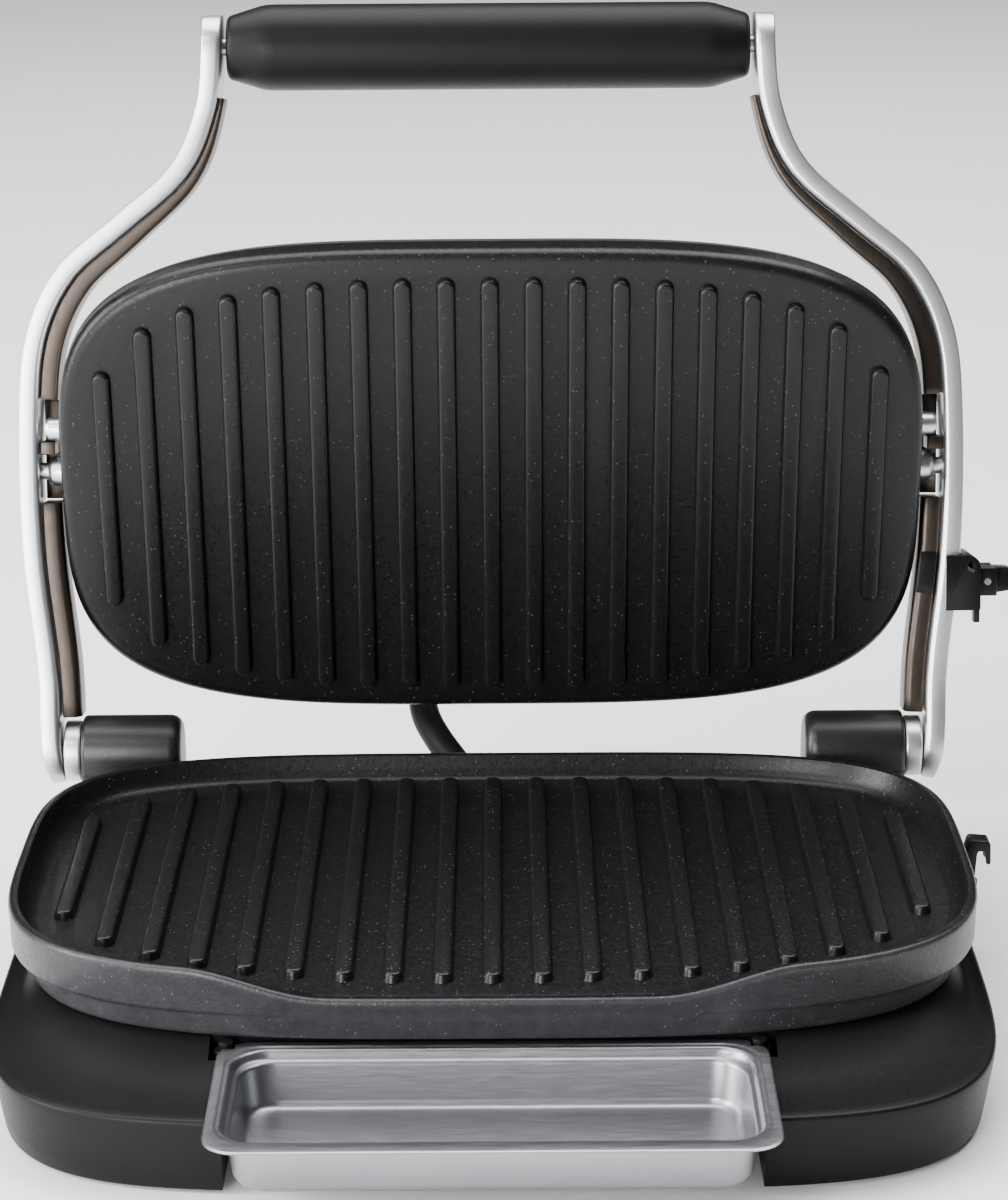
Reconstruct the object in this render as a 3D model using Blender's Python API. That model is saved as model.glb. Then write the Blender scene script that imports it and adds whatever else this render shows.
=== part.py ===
"""Contact grill (panini press), open, with its drip tray in place.

Units are metres. X runs to the right of a person standing in front, Y to the back, Z up.
The origin is under the middle of the base, on the surface that the press stands on.
Each object is one physical piece. The arms, the hinged upper plate and the height clip are
parented to empties that sit on their pivots.
"""

import math

import bmesh
import bpy
from mathutils import Matrix, Vector

MM = 0.001
GAP = 0.3 * MM
SEAM = 0.7 * MM
LEFT, RIGHT = -1, 1
SIDES = ((LEFT, "left"), (RIGHT, "right"))

# Driving dimensions of the base
BASE_HALF_WIDTH = 185 * MM
BASE_HALF_DEPTH = 160 * MM
BASE_CENTRE_Y = -2 * MM
BASE_SKIRT_Z = 1.5 * MM
BASE_CREASE_Z = 29 * MM
BASE_WALL = 3 * MM
DISH_SAG = 1.2 * MM
NOTCH_HALF_WIDTH = 94 * MM
NOTCH_BACK_Y = -103 * MM

# Lower cooking plate
PLATE_HALF_WIDTH = 184 * MM
PLATE_HALF_DEPTH = 113 * MM
PLATE_CENTRE_Y = 2 * MM
PLATE_FLOOR_Z = 52 * MM
PLATE_RIM_Z = 62 * MM
PLATE_BOTTOM_Z = 36 * MM
TIER_HALF_WIDTH = 176 * MM
TIER_HALF_DEPTH = 108 * MM
TIER_CENTRE_Y = -2 * MM
SPOUT_HALF_WIDTH = 60 * MM
CHEEK_HALF_WIDTH = 112 * MM

# Ribs of both plates
RIB_COUNT = 19
RIB_WIDTH = 7.4 * MM
RIB_HEIGHT = 3.5 * MM
LOWER_RIB_PITCH = 18 * MM
UPPER_RIB_PITCH = 17.6 * MM

# Hinge, arms and grip
HINGE_Y = 125 * MM
HINGE_Z = 60 * MM
ARM_LEAN = math.radians(10.84)
BARREL_RADIUS = 15 * MM
BARREL_X = (131 * MM, 172.8 * MM)
SHAFT_RADIUS = 4 * MM
ARM_HALF_DEPTH = 11 * MM
ARM_THICKNESS = 8.3 * MM
EYE_RADIUS = 14 * MM
LINER_FRONT = -6.5 * MM
LINER_REAR = 9.4 * MM
GRIP_REACH = 293 * MM
GRIP_RADIUS = 17.6 * MM
GRIP_HALF_LENGTH = 107.4 * MM
ARM_OUTLINE = (
    (-16, 185.5), (0, 189.1), (35, 190.5), (85, 195.6), (145, 195.8),
    (178, 191.5), (205, 177.5), (225, 154), (245, 131), (268, 120.5), (290, 117.6), (310, 117.6),
)

# Upper plate, hung on the arms by two pivot pins
PIVOT_REACH = 118.6 * MM
PLATEN_LEAN = math.radians(8)
LID_HALF_WIDTH = 178 * MM
LID_HALF_HEIGHT = 103 * MM
LID_FACE_Y = -20 * MM
LID_WALL = 14 * MM
LID_COVER_DEPTH = 26 * MM
HOOD_Z = -10 * MM
STOP_PIN_RISE = 19 * MM

# Height clip, on the right arm
CLIP_REACH = (59 * MM, 82 * MM)
CLIP_X = (178.6 * MM, 204.5 * MM)
CLIP_WALL_X = 196.5 * MM
CLIP_FRONT_X = 189 * MM
CLIP_HALF_DEPTH = 15 * MM
LEVER_X = 207 * MM
LEVER_RADIUS = 5.6 * MM
LEVER_HALF_DEPTH = 6.8 * MM

# Drip tray
TRAY_HALF_WIDTH = 98.5 * MM
TRAY_Y = (-192 * MM, -106 * MM)
TRAY_FLANGE_Z = 34 * MM
TRAY_BOTTOM_Z = 12 * MM
TRAY_SHEET = 1 * MM
POST_X = 95.6 * MM
POST_Y = -108.4 * MM
POST_FOOT_Z = 26 * MM

ROUND = 40


# ---------------------------------------------------------------- materials

def material(name, colour, roughness, metallic=0.0):
    """A Principled material, made once and shared by name."""
    made = bpy.data.materials.get(name)
    if made:
        return made
    made = bpy.data.materials.new(name)
    made.use_nodes = True
    shader = made.node_tree.nodes["Principled BSDF"]
    shader.inputs["Base Color"].default_value = (*colour, 1)
    shader.inputs["Roughness"].default_value = roughness
    shader.inputs["Metallic"].default_value = metallic
    made.diffuse_color = (*colour, 1)
    return made


def finishes():
    return {
        "shell": material("black_moulded_plastic", (0.016, 0.016, 0.018), 0.45),
        "plate": material("nonstick_cast_aluminium", (0.022, 0.022, 0.024), 0.5, 0.3),
        "arm": material("satin_cast_aluminium", (0.62, 0.62, 0.62), 0.35, 1.0),
        "liner": material("anodised_liner", (0.30, 0.29, 0.28), 0.4, 1.0),
        "steel": material("stainless_steel", (0.55, 0.55, 0.56), 0.28, 1.0),
        "rubber": material("black_rubber", (0.02, 0.02, 0.02), 0.8),
        "grip": material("grip_plastic", (0.012, 0.012, 0.012), 0.55),
        "element": material("heating_element_sheath", (0.12, 0.11, 0.1), 0.5, 0.8),
        "bush": material("bronze_bush", (0.45, 0.3, 0.15), 0.4, 1.0),
        "lens": material("clear_red_lens", (0.5, 0.03, 0.02), 0.2),
    }


# ---------------------------------------------------------------- mesh helpers

def empty(name, location, lean):
    """An axis marker: pieces parented to it are modelled in its own upright frame."""
    marker = bpy.data.objects.new(name, None)
    marker.location = location
    marker.rotation_euler = (lean, 0, 0)
    bpy.context.scene.collection.objects.link(marker)
    return marker


def solid(name, mesh, finish=None, parent=None):
    """Links a closed bmesh as an object whose faces point outwards, with round stretches smooth."""
    bmesh.ops.recalc_face_normals(mesh, faces=mesh.faces)
    if mesh.calc_volume(signed=True) < 0:
        bmesh.ops.reverse_faces(mesh, faces=mesh.faces)
    data = bpy.data.meshes.new(name)
    mesh.to_mesh(data)
    mesh.free()
    data.shade_smooth()
    data.set_sharp_from_angle(angle=math.radians(35))
    made = bpy.data.objects.new(name, data)
    bpy.context.scene.collection.objects.link(made)
    made.parent = parent
    if finish:
        data.materials.append(finish)
    else:
        made.hide_render = True
        made.display_type = "WIRE"
    return made


def loft(rings, closed=False):
    """Joins rings of equal length, then caps both ends, or joins the last ring to the first."""
    mesh = bmesh.new()
    loops = [[mesh.verts.new(point) for point in ring] for ring in rings]
    pairs = list(zip(loops, loops[1:]))
    if closed:
        pairs.append((loops[-1], loops[0]))
    for lower, upper in pairs:
        for i, start in enumerate(lower):
            after = (i + 1) % len(lower)
            mesh.faces.new((start, lower[after], upper[after], upper[i]))
    if not closed:
        mesh.faces.new(loops[0][::-1])
        mesh.faces.new(loops[-1])
    return mesh


def squircle(half_x, half_y, centre_y, z, power=4.0, back_power=None, count=ROUND):
    """A rounded outline, |x/a|^n + |y/b|^n = 1, whose back half may be squarer than its front."""
    points = []
    for i in range(count):
        angle = 2 * math.pi * (i + 0.5) / count
        c, s = math.cos(angle), math.sin(angle)
        n = back_power if back_power and s > 0 else power
        x = half_x * math.copysign(abs(c) ** (2 / n), c)
        y = half_y * math.copysign(abs(s) ** (2 / n), s)
        points.append(Vector((x, centre_y + y, z)))
    return points


def rounded_rectangle(x_range, y_range, radius, z, steps=5):
    """A rectangle with round corners, in the XY plane at height z."""
    (x0, x1), (y0, y1) = x_range, y_range
    centres = ((x1, y1, 0), (x0, y1, 90), (x0, y0, 180), (x1, y0, 270))
    points = []
    for x, y, start in centres:
        cx = x - math.copysign(radius, x - (x0 + x1) / 2)
        cy = y - math.copysign(radius, y - (y0 + y1) / 2)
        for i in range(steps + 1):
            angle = math.radians(start + 90 * i / steps)
            points.append(Vector((cx + radius * math.cos(angle), cy + radius * math.sin(angle), z)))
    return points


def turned(profile, axis="X", centre=(0, 0, 0), count=16):
    """A solid of revolution from (distance along the axis, radius) pairs."""
    rings = []
    for along, radius in profile:
        ring = []
        for i in range(count):
            angle = 2 * math.pi * (i + 0.5) / count
            a, b = radius * math.cos(angle), radius * math.sin(angle)
            local = {"X": (along, a, b), "Y": (a, along, b), "Z": (a, b, along)}[axis]
            ring.append(Vector(centre) + Vector(local))
        rings.append(ring)
    return rings


def box(x_range, y_range, z_range):
    rings = []
    for z in z_range:
        (x0, x1), (y0, y1) = x_range, y_range
        rings.append([Vector(p) for p in ((x0, y0, z), (x1, y0, z), (x1, y1, z), (x0, y1, z))])
    return loft(rings)


def boolean(target, cutter, operation="DIFFERENCE"):
    """Adds an exact Boolean; the cutter shares the target's parent frame."""
    cutter.parent = target.parent
    modifier = target.modifiers.new(operation.lower(), "BOOLEAN")
    modifier.operation = operation
    modifier.solver = "EXACT"
    modifier.object = cutter
    return target


def drill(target, name, along, radius, axis="X", centre=(0, 0, 0), count=16):
    """Cuts a round hole between two distances along an axis."""
    profile = ((along[0], radius), (along[1], radius))
    return boolean(target, solid(name, loft(turned(profile, axis, centre, count))))


# ---------------------------------------------------------------- base

def base_ring(inset, z, power=5.0):
    return squircle(BASE_HALF_WIDTH - inset, BASE_HALF_DEPTH - inset, BASE_CENTRE_Y, z, power)


def seat_ring(inset, z):
    """The collar on which the lower plate stands."""
    return squircle(TIER_HALF_WIDTH - 2 * MM - inset, TIER_HALF_DEPTH - 2 * MM - inset,
                    TIER_CENTRE_Y, z, 3.6)


def dish(share, drop):
    """The hollow top of the base, from its crease (0) to the plate's seat (1), which it meets steeply."""
    crease_z, seat_z = BASE_CREASE_Z + 0.8 * MM, PLATE_BOTTOM_Z - 0.4 * MM
    z = crease_z + (seat_z - crease_z) * share ** 3 - DISH_SAG * math.sin(math.pi * share) - drop
    return [a.lerp(b, share) for a, b in zip(base_ring(1.2 * MM + drop, z), seat_ring(drop, z))]


def make_base_shell(finish):
    """Moulded housing with a notch in front for the tray, open above and below."""
    outer = [base_ring(4.2 * MM, BASE_SKIRT_Z), base_ring(3.2 * MM, BASE_SKIRT_Z + 1 * MM),
             base_ring(0.6 * MM, 21 * MM), base_ring(0, 27.5 * MM)]
    outer += [dish(i / 5, 0) for i in range(6)]
    shell = solid("base_shell", loft(outer), finish)
    notch = box((-NOTCH_HALF_WIDTH, NOTCH_HALF_WIDTH), (-200 * MM, NOTCH_BACK_Y), (-9 * MM, 60 * MM))
    boolean(shell, solid("cut_tray_notch", notch))
    pocket = box((-POST_X - 6 * MM, POST_X + 6 * MM), (POST_Y - 8 * MM, NOTCH_BACK_Y),
                 (POST_FOOT_Z - GAP, 60 * MM))
    boolean(shell, solid("cut_post_pockets", pocket))
    inner = [base_ring(7.2 * MM, -5 * MM), base_ring(3.6 * MM, 21 * MM), base_ring(4 * MM, 24 * MM)]
    inner += [dish(i / 3, BASE_WALL) for i in range(4)]
    inner += [seat_ring(8 * MM, PLATE_BOTTOM_Z - 2 * MM), seat_ring(8 * MM, 50 * MM)]
    cavity = solid("cut_base_cavity", loft(inner))
    kept = box((-NOTCH_HALF_WIDTH - BASE_WALL, NOTCH_HALF_WIDTH + BASE_WALL),
               (-210 * MM, NOTCH_BACK_Y + BASE_WALL), (-19 * MM, 70 * MM))
    boolean(cavity, solid("cut_notch_wall", kept))
    boolean(shell, cavity)
    rear_y = BASE_CENTRE_Y + BASE_HALF_DEPTH
    return drill(shell, "cut_cord_outlet", (rear_y - 8 * MM, rear_y + 3 * MM), 6.3 * MM, "Y",
                 (60 * MM, 0, 15 * MM))


def make_bottom_cover(finish):
    rings = [base_ring(8.4 * MM, 2.5 * MM), base_ring(8.2 * MM, 4.7 * MM)]
    cover = solid("base_bottom_cover", loft(rings), finish)
    reach = NOTCH_HALF_WIDTH + BASE_WALL + 0.7 * MM
    notch = box((-reach, reach), (-200 * MM, NOTCH_BACK_Y + BASE_WALL + 0.7 * MM), (-9 * MM, 20 * MM))
    return boolean(cover, solid("cut_cover_notch", notch))


def make_feet(finishes_by_name):
    """Four rubber feet, and the four screws that hold the bottom cover beside them."""
    for y, row in ((-122 * MM, "front"), (122 * MM, "rear")):
        for side, word in SIDES:
            x = side * 148 * MM
            profile = ((0, 8 * MM), (0.6 * MM, 8.8 * MM), (2.2 * MM, 9 * MM))
            solid(f"foot_{row}_{word}", loft(turned(profile, "Z", (x, y, 0))),
                  finishes_by_name["rubber"])
            head = ((0.9 * MM, 2.4 * MM), (1.5 * MM, 3.4 * MM), (2.2 * MM, 3.4 * MM))
            solid(f"cover_screw_{row}_{word}", loft(turned(head, "Z", (side * 116 * MM, y, 0), 12)),
                  finishes_by_name["steel"])


def make_cord_gland(finish):
    """Collar for the mains lead, at the rear."""
    rear_y = BASE_CENTRE_Y + BASE_HALF_DEPTH
    profile = ((rear_y - 7 * MM, 5.9 * MM), (rear_y + 0.6 * MM, 5.9 * MM),
               (rear_y + 0.7 * MM, 8 * MM), (rear_y + 3.4 * MM, 7 * MM), (rear_y + 3.5 * MM, 3.6 * MM),
               (rear_y - 2 * MM, 3.6 * MM))
    return solid("mains_cord_gland", loft(turned(profile, "Y", (60 * MM, 0, 15 * MM))), finish)


# ---------------------------------------------------------------- lower plate

def smooth_step(value, low, high):
    share = min(max((value - low) / (high - low), 0), 1)
    return share * share * (3 - 2 * share)


def rim_height(point):
    """The rim falls to the floor along the pouring lip in the middle of the front."""
    if point.y > 0:
        return PLATE_RIM_Z
    rise = smooth_step(abs(point.x), SPOUT_HALF_WIDTH, CHEEK_HALF_WIDTH)
    return PLATE_FLOOR_Z + rise * (PLATE_RIM_Z - PLATE_FLOOR_Z)


def plate_ring(inset, drop, floor_share=0.0):
    """A ring of the rim: drop is below the rim, floor_share moves it down towards the floor."""
    ring = squircle(PLATE_HALF_WIDTH - inset, PLATE_HALF_DEPTH - inset, PLATE_CENTRE_Y, 0, 3.4, 4.1)
    for point in ring:
        top = rim_height(point)
        point.z = top - drop - floor_share * (top - PLATE_FLOOR_Z)
    return ring


def level_plate_ring(inset, z):
    return squircle(PLATE_HALF_WIDTH - inset, PLATE_HALF_DEPTH - inset, PLATE_CENTRE_Y, z, 3.4, 4.1)


def tier_ring(inset, z):
    return squircle(TIER_HALF_WIDTH - inset, TIER_HALF_DEPTH - inset, TIER_CENTRE_Y, z, 3.4, 4.1)


def rib_outline(x, ends, width):
    """A bar with round ends, seen from above."""
    points = []
    half = width / 2
    for end, start in ((ends[1], 0), (ends[0], 180)):
        for step in range(4):
            angle = math.radians(start + 60 * step)
            inward = math.copysign(half, start - 90)
            points.append((x + half * math.cos(angle), end + inward + half * math.sin(angle)))
    return points


def rib_block(pitch, ends_of, z_root, z_top):
    """All the ribs of a plate, still separate, as one operand for a union."""
    mesh = bmesh.new()
    for i in range(RIB_COUNT):
        x = (i - (RIB_COUNT - 1) / 2) * pitch
        rings = []
        for z, width in ((z_root, RIB_WIDTH + 1 * MM), (z_top, RIB_WIDTH - 1 * MM)):
            outline = rib_outline(x, ends_of(abs(x)), width)
            rings.append([mesh.verts.new((*point, z)) for point in outline])
        for lower, upper in zip(rings, rings[1:]):
            for j, start in enumerate(lower):
                after = (j + 1) % len(lower)
                mesh.faces.new((start, lower[after], upper[after], upper[j]))
        mesh.faces.new(rings[0][::-1])
        mesh.faces.new(rings[-1])
    return mesh


def lower_rib_ends(x):
    share = min((x + RIB_WIDTH / 2) / (172 * MM), 0.999)
    front = -99 * MM * (1 - share ** 2.6) ** (1 / 2.6) + PLATE_CENTRE_Y
    back = 101 * MM * (1 - share ** 3.9) ** (1 / 3.9) + PLATE_CENTRE_Y
    return front, back


def make_lower_plate(finish):
    """Cast, non-stick plate with a raised rim, a pouring lip in front and ribs front to back."""
    rings = [tier_ring(6 * MM, PLATE_BOTTOM_Z + 9.5 * MM), tier_ring(5 * MM, PLATE_BOTTOM_Z),
             tier_ring(0.8 * MM, PLATE_BOTTOM_Z), tier_ring(0, PLATE_BOTTOM_Z + 1.2 * MM),
             tier_ring(-0.4 * MM, 43.5 * MM), level_plate_ring(1.6 * MM, 45.5 * MM),
             plate_ring(0, 2 * MM), plate_ring(1 * MM, 0), plate_ring(3.4 * MM, 0.2 * MM),
             plate_ring(5.5 * MM, 0, 0.6), plate_ring(10.5 * MM, 0, 1.0)]
    plate = solid("lower_grill_plate", loft(rings), finish)
    ribs = rib_block(LOWER_RIB_PITCH, lower_rib_ends, PLATE_FLOOR_Z - 2 * MM,
                     PLATE_FLOOR_Z + RIB_HEIGHT)
    return boolean(plate, solid("join_lower_ribs", ribs), "UNION")


def make_element(name, half_x, half_y, centre, axes, finish, parent=None):
    """Sheathed heating rod, bent to one open loop. axes are the loop's two directions."""
    curve = bpy.data.curves.new(name, "CURVE")
    curve.dimensions = "3D"
    curve.bevel_depth = 3.2 * MM
    curve.bevel_resolution = 2
    curve.use_fill_caps = True
    loop = squircle(half_x, half_y, 0, 0, 3.0, None, 28)
    points = loop[8:] + loop[:6]
    spline = curve.splines.new("POLY")
    spline.points.add(len(points) - 1)
    for target, point in zip(spline.points, points):
        place = Vector(centre) + axes[0] * point.x + axes[1] * point.y
        target.co = (*place, 1)
    made = bpy.data.objects.new(name, curve)
    curve.materials.append(finish)
    bpy.context.scene.collection.objects.link(made)
    made.parent = parent
    return made


def make_lower_internals(by_name):
    """Heating rod, its reflector pan and the terminal block, all inside the base."""
    make_element("lower_heating_element", 128 * MM, 66 * MM, (0, TIER_CENTRE_Y, 41.5 * MM),
                 (Vector((1, 0, 0)), Vector((0, 1, 0))), by_name["element"])
    pan = [squircle(156 * MM, 92 * MM, TIER_CENTRE_Y, 30 * MM, 3.6, None, 32),
           squircle(160 * MM, 96 * MM, TIER_CENTRE_Y, 34.5 * MM, 3.6, None, 32),
           squircle(159 * MM, 95 * MM, TIER_CENTRE_Y, 34.5 * MM, 3.6, None, 32),
           squircle(155 * MM, 91 * MM, TIER_CENTRE_Y, 31 * MM, 3.6, None, 32)]
    solid("lower_reflector", loft(pan), by_name["steel"])
    block = box((-62 * MM, -22 * MM), (60 * MM, 78 * MM), (10 * MM, 24 * MM))
    solid("terminal_block", block, by_name["shell"])


# ---------------------------------------------------------------- hinge on the base

def barrel_ring(x, inset, root_z):
    """Round on top, with a straight pedestal below."""
    radius = BARREL_RADIUS - inset
    points = [Vector((x, HINGE_Y - radius, root_z)), Vector((x, HINGE_Y + radius, root_z))]
    for step in range(17):
        angle = math.radians(180 * step / 16)
        points.append(Vector((x, HINGE_Y + radius * math.cos(angle), HINGE_Z + radius * math.sin(angle))))
    return points


def make_hinge_seats(by_name):
    """Barrels that carry the arms: a pedestal on the base, with a bush for the shaft."""
    inner, outer = BARREL_X
    root = 31.8 * MM
    for side, word in SIDES:
        rings = [barrel_ring(side * x, inset, root) for x, inset in (
            (inner, 3.6 * MM), (inner + 1 * MM, 1.4 * MM), (inner + 3.4 * MM, 0),
            (outer - 0.8 * MM, 0), (outer, 0.8 * MM))]
        barrel = solid(f"hinge_barrel_{word}", loft(rings), by_name["shell"])
        centre = (0, HINGE_Y, HINGE_Z)
        drill(barrel, f"cut_barrel_bore_{word}", (side * (inner + 6 * MM), side * (outer + 4 * MM)),
              6.4 * MM, "X", centre)
        far, near = side * (inner + 6.5 * MM), side * (outer - 0.4 * MM)
        profile = ((far, 6 * MM), (near, 6 * MM), (near, SHAFT_RADIUS + 0.5 * MM),
                   (far, SHAFT_RADIUS + 0.5 * MM))
        solid(f"hinge_bush_{word}", loft(turned(profile, "X", centre), closed=True), by_name["bush"])


# ---------------------------------------------------------------- arms, in the arm's own frame

def catmull(points, t):
    """A smooth curve through (s, x) points, read at s = t."""
    for i in range(1, len(points) - 2):
        if t <= points[i + 1][0]:
            break
    (s0, x0), (s1, x1), (s2, x2), (s3, x3) = points[i - 1:i + 3]
    share = (t - s1) / (s2 - s1)
    m1, m2 = (x2 - x0) / (s2 - s0) * (s2 - s1), (x3 - x1) / (s3 - s1) * (s2 - s1)
    a, b = share * share * (3 - 2 * share), share * (share - 1)
    return x1 * (1 - a) + x2 * a + m1 * b * (share - 1) + m2 * b * share


def arm_point(reach, depth):
    """A point on the arm's outline at this reach, moved inwards by depth along the normal."""
    ends = (ARM_OUTLINE[0][0] - 20, ARM_OUTLINE[0][1]), (ARM_OUTLINE[-1][0] + 20, ARM_OUTLINE[-1][1])
    points = (ends[0], *ARM_OUTLINE, ends[1])
    s = reach / MM
    x = catmull(points, s)
    slope = (catmull(points, s + 0.5) - catmull(points, s - 0.5))
    length = math.hypot(slope, 1)
    return (x * MM - depth / length, reach + depth * slope / length)


def strip(name, side, reaches, depths_of, span_of, finish, parent):
    """A bar that follows the arm's outline: depths below its outer face, and a front-to-back span."""
    rings = []
    for reach in reaches:
        near, far = (arm_point(reach, depth) for depth in depths_of(reach))
        front, rear = span_of(reach)
        rings.append([Vector((side * x, y, z)) for (x, z), y in (
            (near, front), (near, rear), (far, rear), (far, front))])
    return solid(name, loft(rings), finish, parent)


def arm_half_depth(reach):
    """Half of the arm's depth: round at the hinge eye and round again about the grip's axis."""
    if reach < 0:
        return math.sqrt(max(EYE_RADIUS ** 2 - reach ** 2, (2 * MM) ** 2))
    if reach > GRIP_REACH:
        return math.sqrt(max((13.4 * MM) ** 2 - (reach - GRIP_REACH) ** 2, (3 * MM) ** 2))
    eye = EYE_RADIUS + smooth_step(reach, 0, 30 * MM) * (ARM_HALF_DEPTH - EYE_RADIUS)
    return eye + smooth_step(reach, 262 * MM, GRIP_REACH) * 2.4 * MM


def spaced(start, end, count):
    return [start + (end - start) * i / (count - 1) for i in range(count)]


def make_arms(by_name, parent):
    """Cast side arms with inner liners, hinge knuckles and the shafts that turn with them."""
    eye = [-13.8 * MM, -12.5 * MM, -10 * MM, -6 * MM]
    tip = [GRIP_REACH + rise * MM for rise in (0, 5, 9, 11.6, 13)]
    reaches = eye + spaced(0, 150 * MM, 7) + spaced(162 * MM, 282 * MM, 13) + tip
    for side, word in SIDES:
        arm = strip(f"arm_{word}", side, reaches, lambda reach: (0, ARM_THICKNESS),
                    lambda reach: (-arm_half_depth(reach), arm_half_depth(reach)), by_name["arm"], parent)
        flat = box(sorted((side * 165 * MM, side * (189.1 * MM - ARM_THICKNESS))), (-20 * MM, 20 * MM),
                   (-20 * MM, EYE_RADIUS))
        boolean(arm, solid(f"cut_arm_eye_face_{word}", flat, None, parent))
        drill(arm, f"cut_arm_hinge_hole_{word}", (side * 170 * MM, side * 186 * MM),
              SHAFT_RADIUS + GAP)
        drill(arm, f"cut_arm_pivot_hole_{word}", (side * 170 * MM, side * 194 * MM), 4 * MM, "X",
              (0, 0, PIVOT_REACH))
        drill(arm, f"cut_arm_grip_hole_{word}", (side * 100 * MM, side * 115 * MM), 4.3 * MM, "X",
              (0, 0, GRIP_REACH))
        inner = ARM_THICKNESS + SEAM
        strip(f"arm_liner_lower_{word}", side, spaced(14.8 * MM, 105.5 * MM, 8),
              lambda reach: (inner, inner + 8 * MM), lambda reach: (LINER_FRONT, LINER_REAR),
              by_name["liner"], parent)

        def taper(reach):
            return inner, inner + 7 * MM - smooth_step(reach, 200 * MM, 284 * MM) * 5.4 * MM

        strip(f"arm_liner_upper_{word}", side, spaced(149.5 * MM, 274 * MM, 16), taper,
              lambda reach: (-LINER_REAR, LINER_REAR), by_name["liner"], parent)
        x_out = arm_point(128.5 * MM, inner)[0]
        bar = box(sorted((side * x_out, side * (x_out - 6 * MM))), (-9 * MM, 8 * MM),
                  (126 * MM, 131.4 * MM))
        bar = solid(f"pivot_window_bar_{word}", bar, by_name["liner"], parent)
        backing = box(sorted((side * x_out, side * (x_out - 7.4 * MM))), (7 * MM, LINER_REAR),
                      (106.4 * MM, 148 * MM))
        boolean(bar, solid(f"join_window_backing_{word}", backing), "UNION")
        knuckle = [(side * x, r * MM) for x, r in (
            (173.2 * MM, 12.2), (173.8 * MM, 12.8), (179.6 * MM, 12.8), (180.2 * MM, 12.2))]
        hole = [(knuckle[-1][0], SHAFT_RADIUS + GAP), (knuckle[0][0], SHAFT_RADIUS + GAP)]
        solid(f"hinge_knuckle_{word}", loft(turned(knuckle + hole, "X", count=20), closed=True),
              by_name["arm"], parent)
        shaft = [(side * x * MM, r * MM) for x, r in ((139, 3.4), (139.6, 4), (185, 4), (185.6, 3.4))]
        solid(f"hinge_shaft_{word}", loft(turned(shaft)), by_name["steel"], parent)


def make_grip(by_name, parent):
    """Ribless round grip on a steel rod, with a screw head behind each arm."""
    end, taper = GRIP_HALF_LENGTH, 14 * MM
    half = [(end, 11.6 * MM), (end - 1.4 * MM, 13 * MM), (end - taper, 17 * MM),
            (end - taper - 6 * MM, GRIP_RADIUS)]
    profile = [(-x, r) for x, r in half] + half[::-1]
    grip = solid("grip", loft(turned(profile, "X", (0, 0, GRIP_REACH), 32)), by_name["grip"], parent)
    drill(grip, "cut_grip_bore", (-end - 5 * MM, end + 5 * MM), 4.4 * MM, "X", (0, 0, GRIP_REACH))
    rod = ((-114 * MM, 4 * MM), (114 * MM, 4 * MM))
    solid("grip_rod", loft(turned(rod, "X", (0, 0, GRIP_REACH))), by_name["steel"], parent)


# ---------------------------------------------------------------- upper plate, in its own frame

def lid_ring(inset, y, count=ROUND, power=3.7):
    """The same outline as the cooking face, standing up in the XZ plane."""
    flat = squircle(LID_HALF_WIDTH - inset, LID_HALF_HEIGHT - inset, 0, 0, power, None, count)
    return [Vector((point.x, y, point.y)) for point in flat]


def upper_rib_ends(x):
    share = min((x + RIB_WIDTH / 2) / (170 * MM), 0.999)
    reach = 92 * MM * (1 - share ** 3.4) ** (1 / 3.4)
    return -reach, reach


def make_upper_plate(finish, parent):
    """Cast, non-stick plate: a flat face with ribs, a round edge and a skirt behind."""
    back = LID_FACE_Y + LID_WALL
    rings = [lid_ring(7 * MM, LID_FACE_Y + 7 * MM), lid_ring(5 * MM, back), lid_ring(1 * MM, back),
             lid_ring(0.2 * MM, back - 1 * MM), lid_ring(0, LID_FACE_Y + 5 * MM),
             lid_ring(1.5 * MM, LID_FACE_Y + 1.6 * MM), lid_ring(5 * MM, LID_FACE_Y)]
    plate = solid("upper_grill_plate", loft(rings), finish, parent)
    ribs = rib_block(UPPER_RIB_PITCH, upper_rib_ends, -2 * MM, RIB_HEIGHT)
    ribs.transform(Matrix.Translation((0, LID_FACE_Y, 0)) @ Matrix.Rotation(math.radians(90), 4, "X"))
    return boolean(plate, solid("join_upper_ribs", ribs), "UNION")


def make_lid_cover(by_name, parent):
    """Brushed steel dome behind the plate, with two small lamps in it."""
    rim = LID_FACE_Y + LID_WALL + GAP
    crown = rim + LID_COVER_DEPTH
    outer = [(1 * MM, rim), (1 * MM, rim + 9 * MM), (6 * MM, rim + 16 * MM), (20 * MM, rim + 22 * MM),
             (46 * MM, crown)]
    rings = [lid_ring(inset, y) for inset, y in outer]
    hollow = [lid_ring(inset + 1.5 * MM, y - 1.6 * MM) for inset, y in outer[::-1]]
    hollow[-1] = lid_ring(2.5 * MM, rim)
    cover = solid("lid_cover", loft(hollow + rings), by_name["steel"], parent)
    for x, name in ((-14 * MM, "power_lamp_lens"), (14 * MM, "ready_lamp_lens")):
        place = (x, 0, 42 * MM)
        drill(cover, f"cut_{name}", (crown - 9 * MM, crown + 6 * MM), 3.6 * MM, "Y", place, 16)
        lens = ((crown - 4 * MM, 3.2 * MM), (crown + 0.6 * MM, 3.2 * MM), (crown + 1.6 * MM, 2.2 * MM))
        solid(name, loft(turned(lens, "Y", place, 16)), by_name["lens"], parent)


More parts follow.
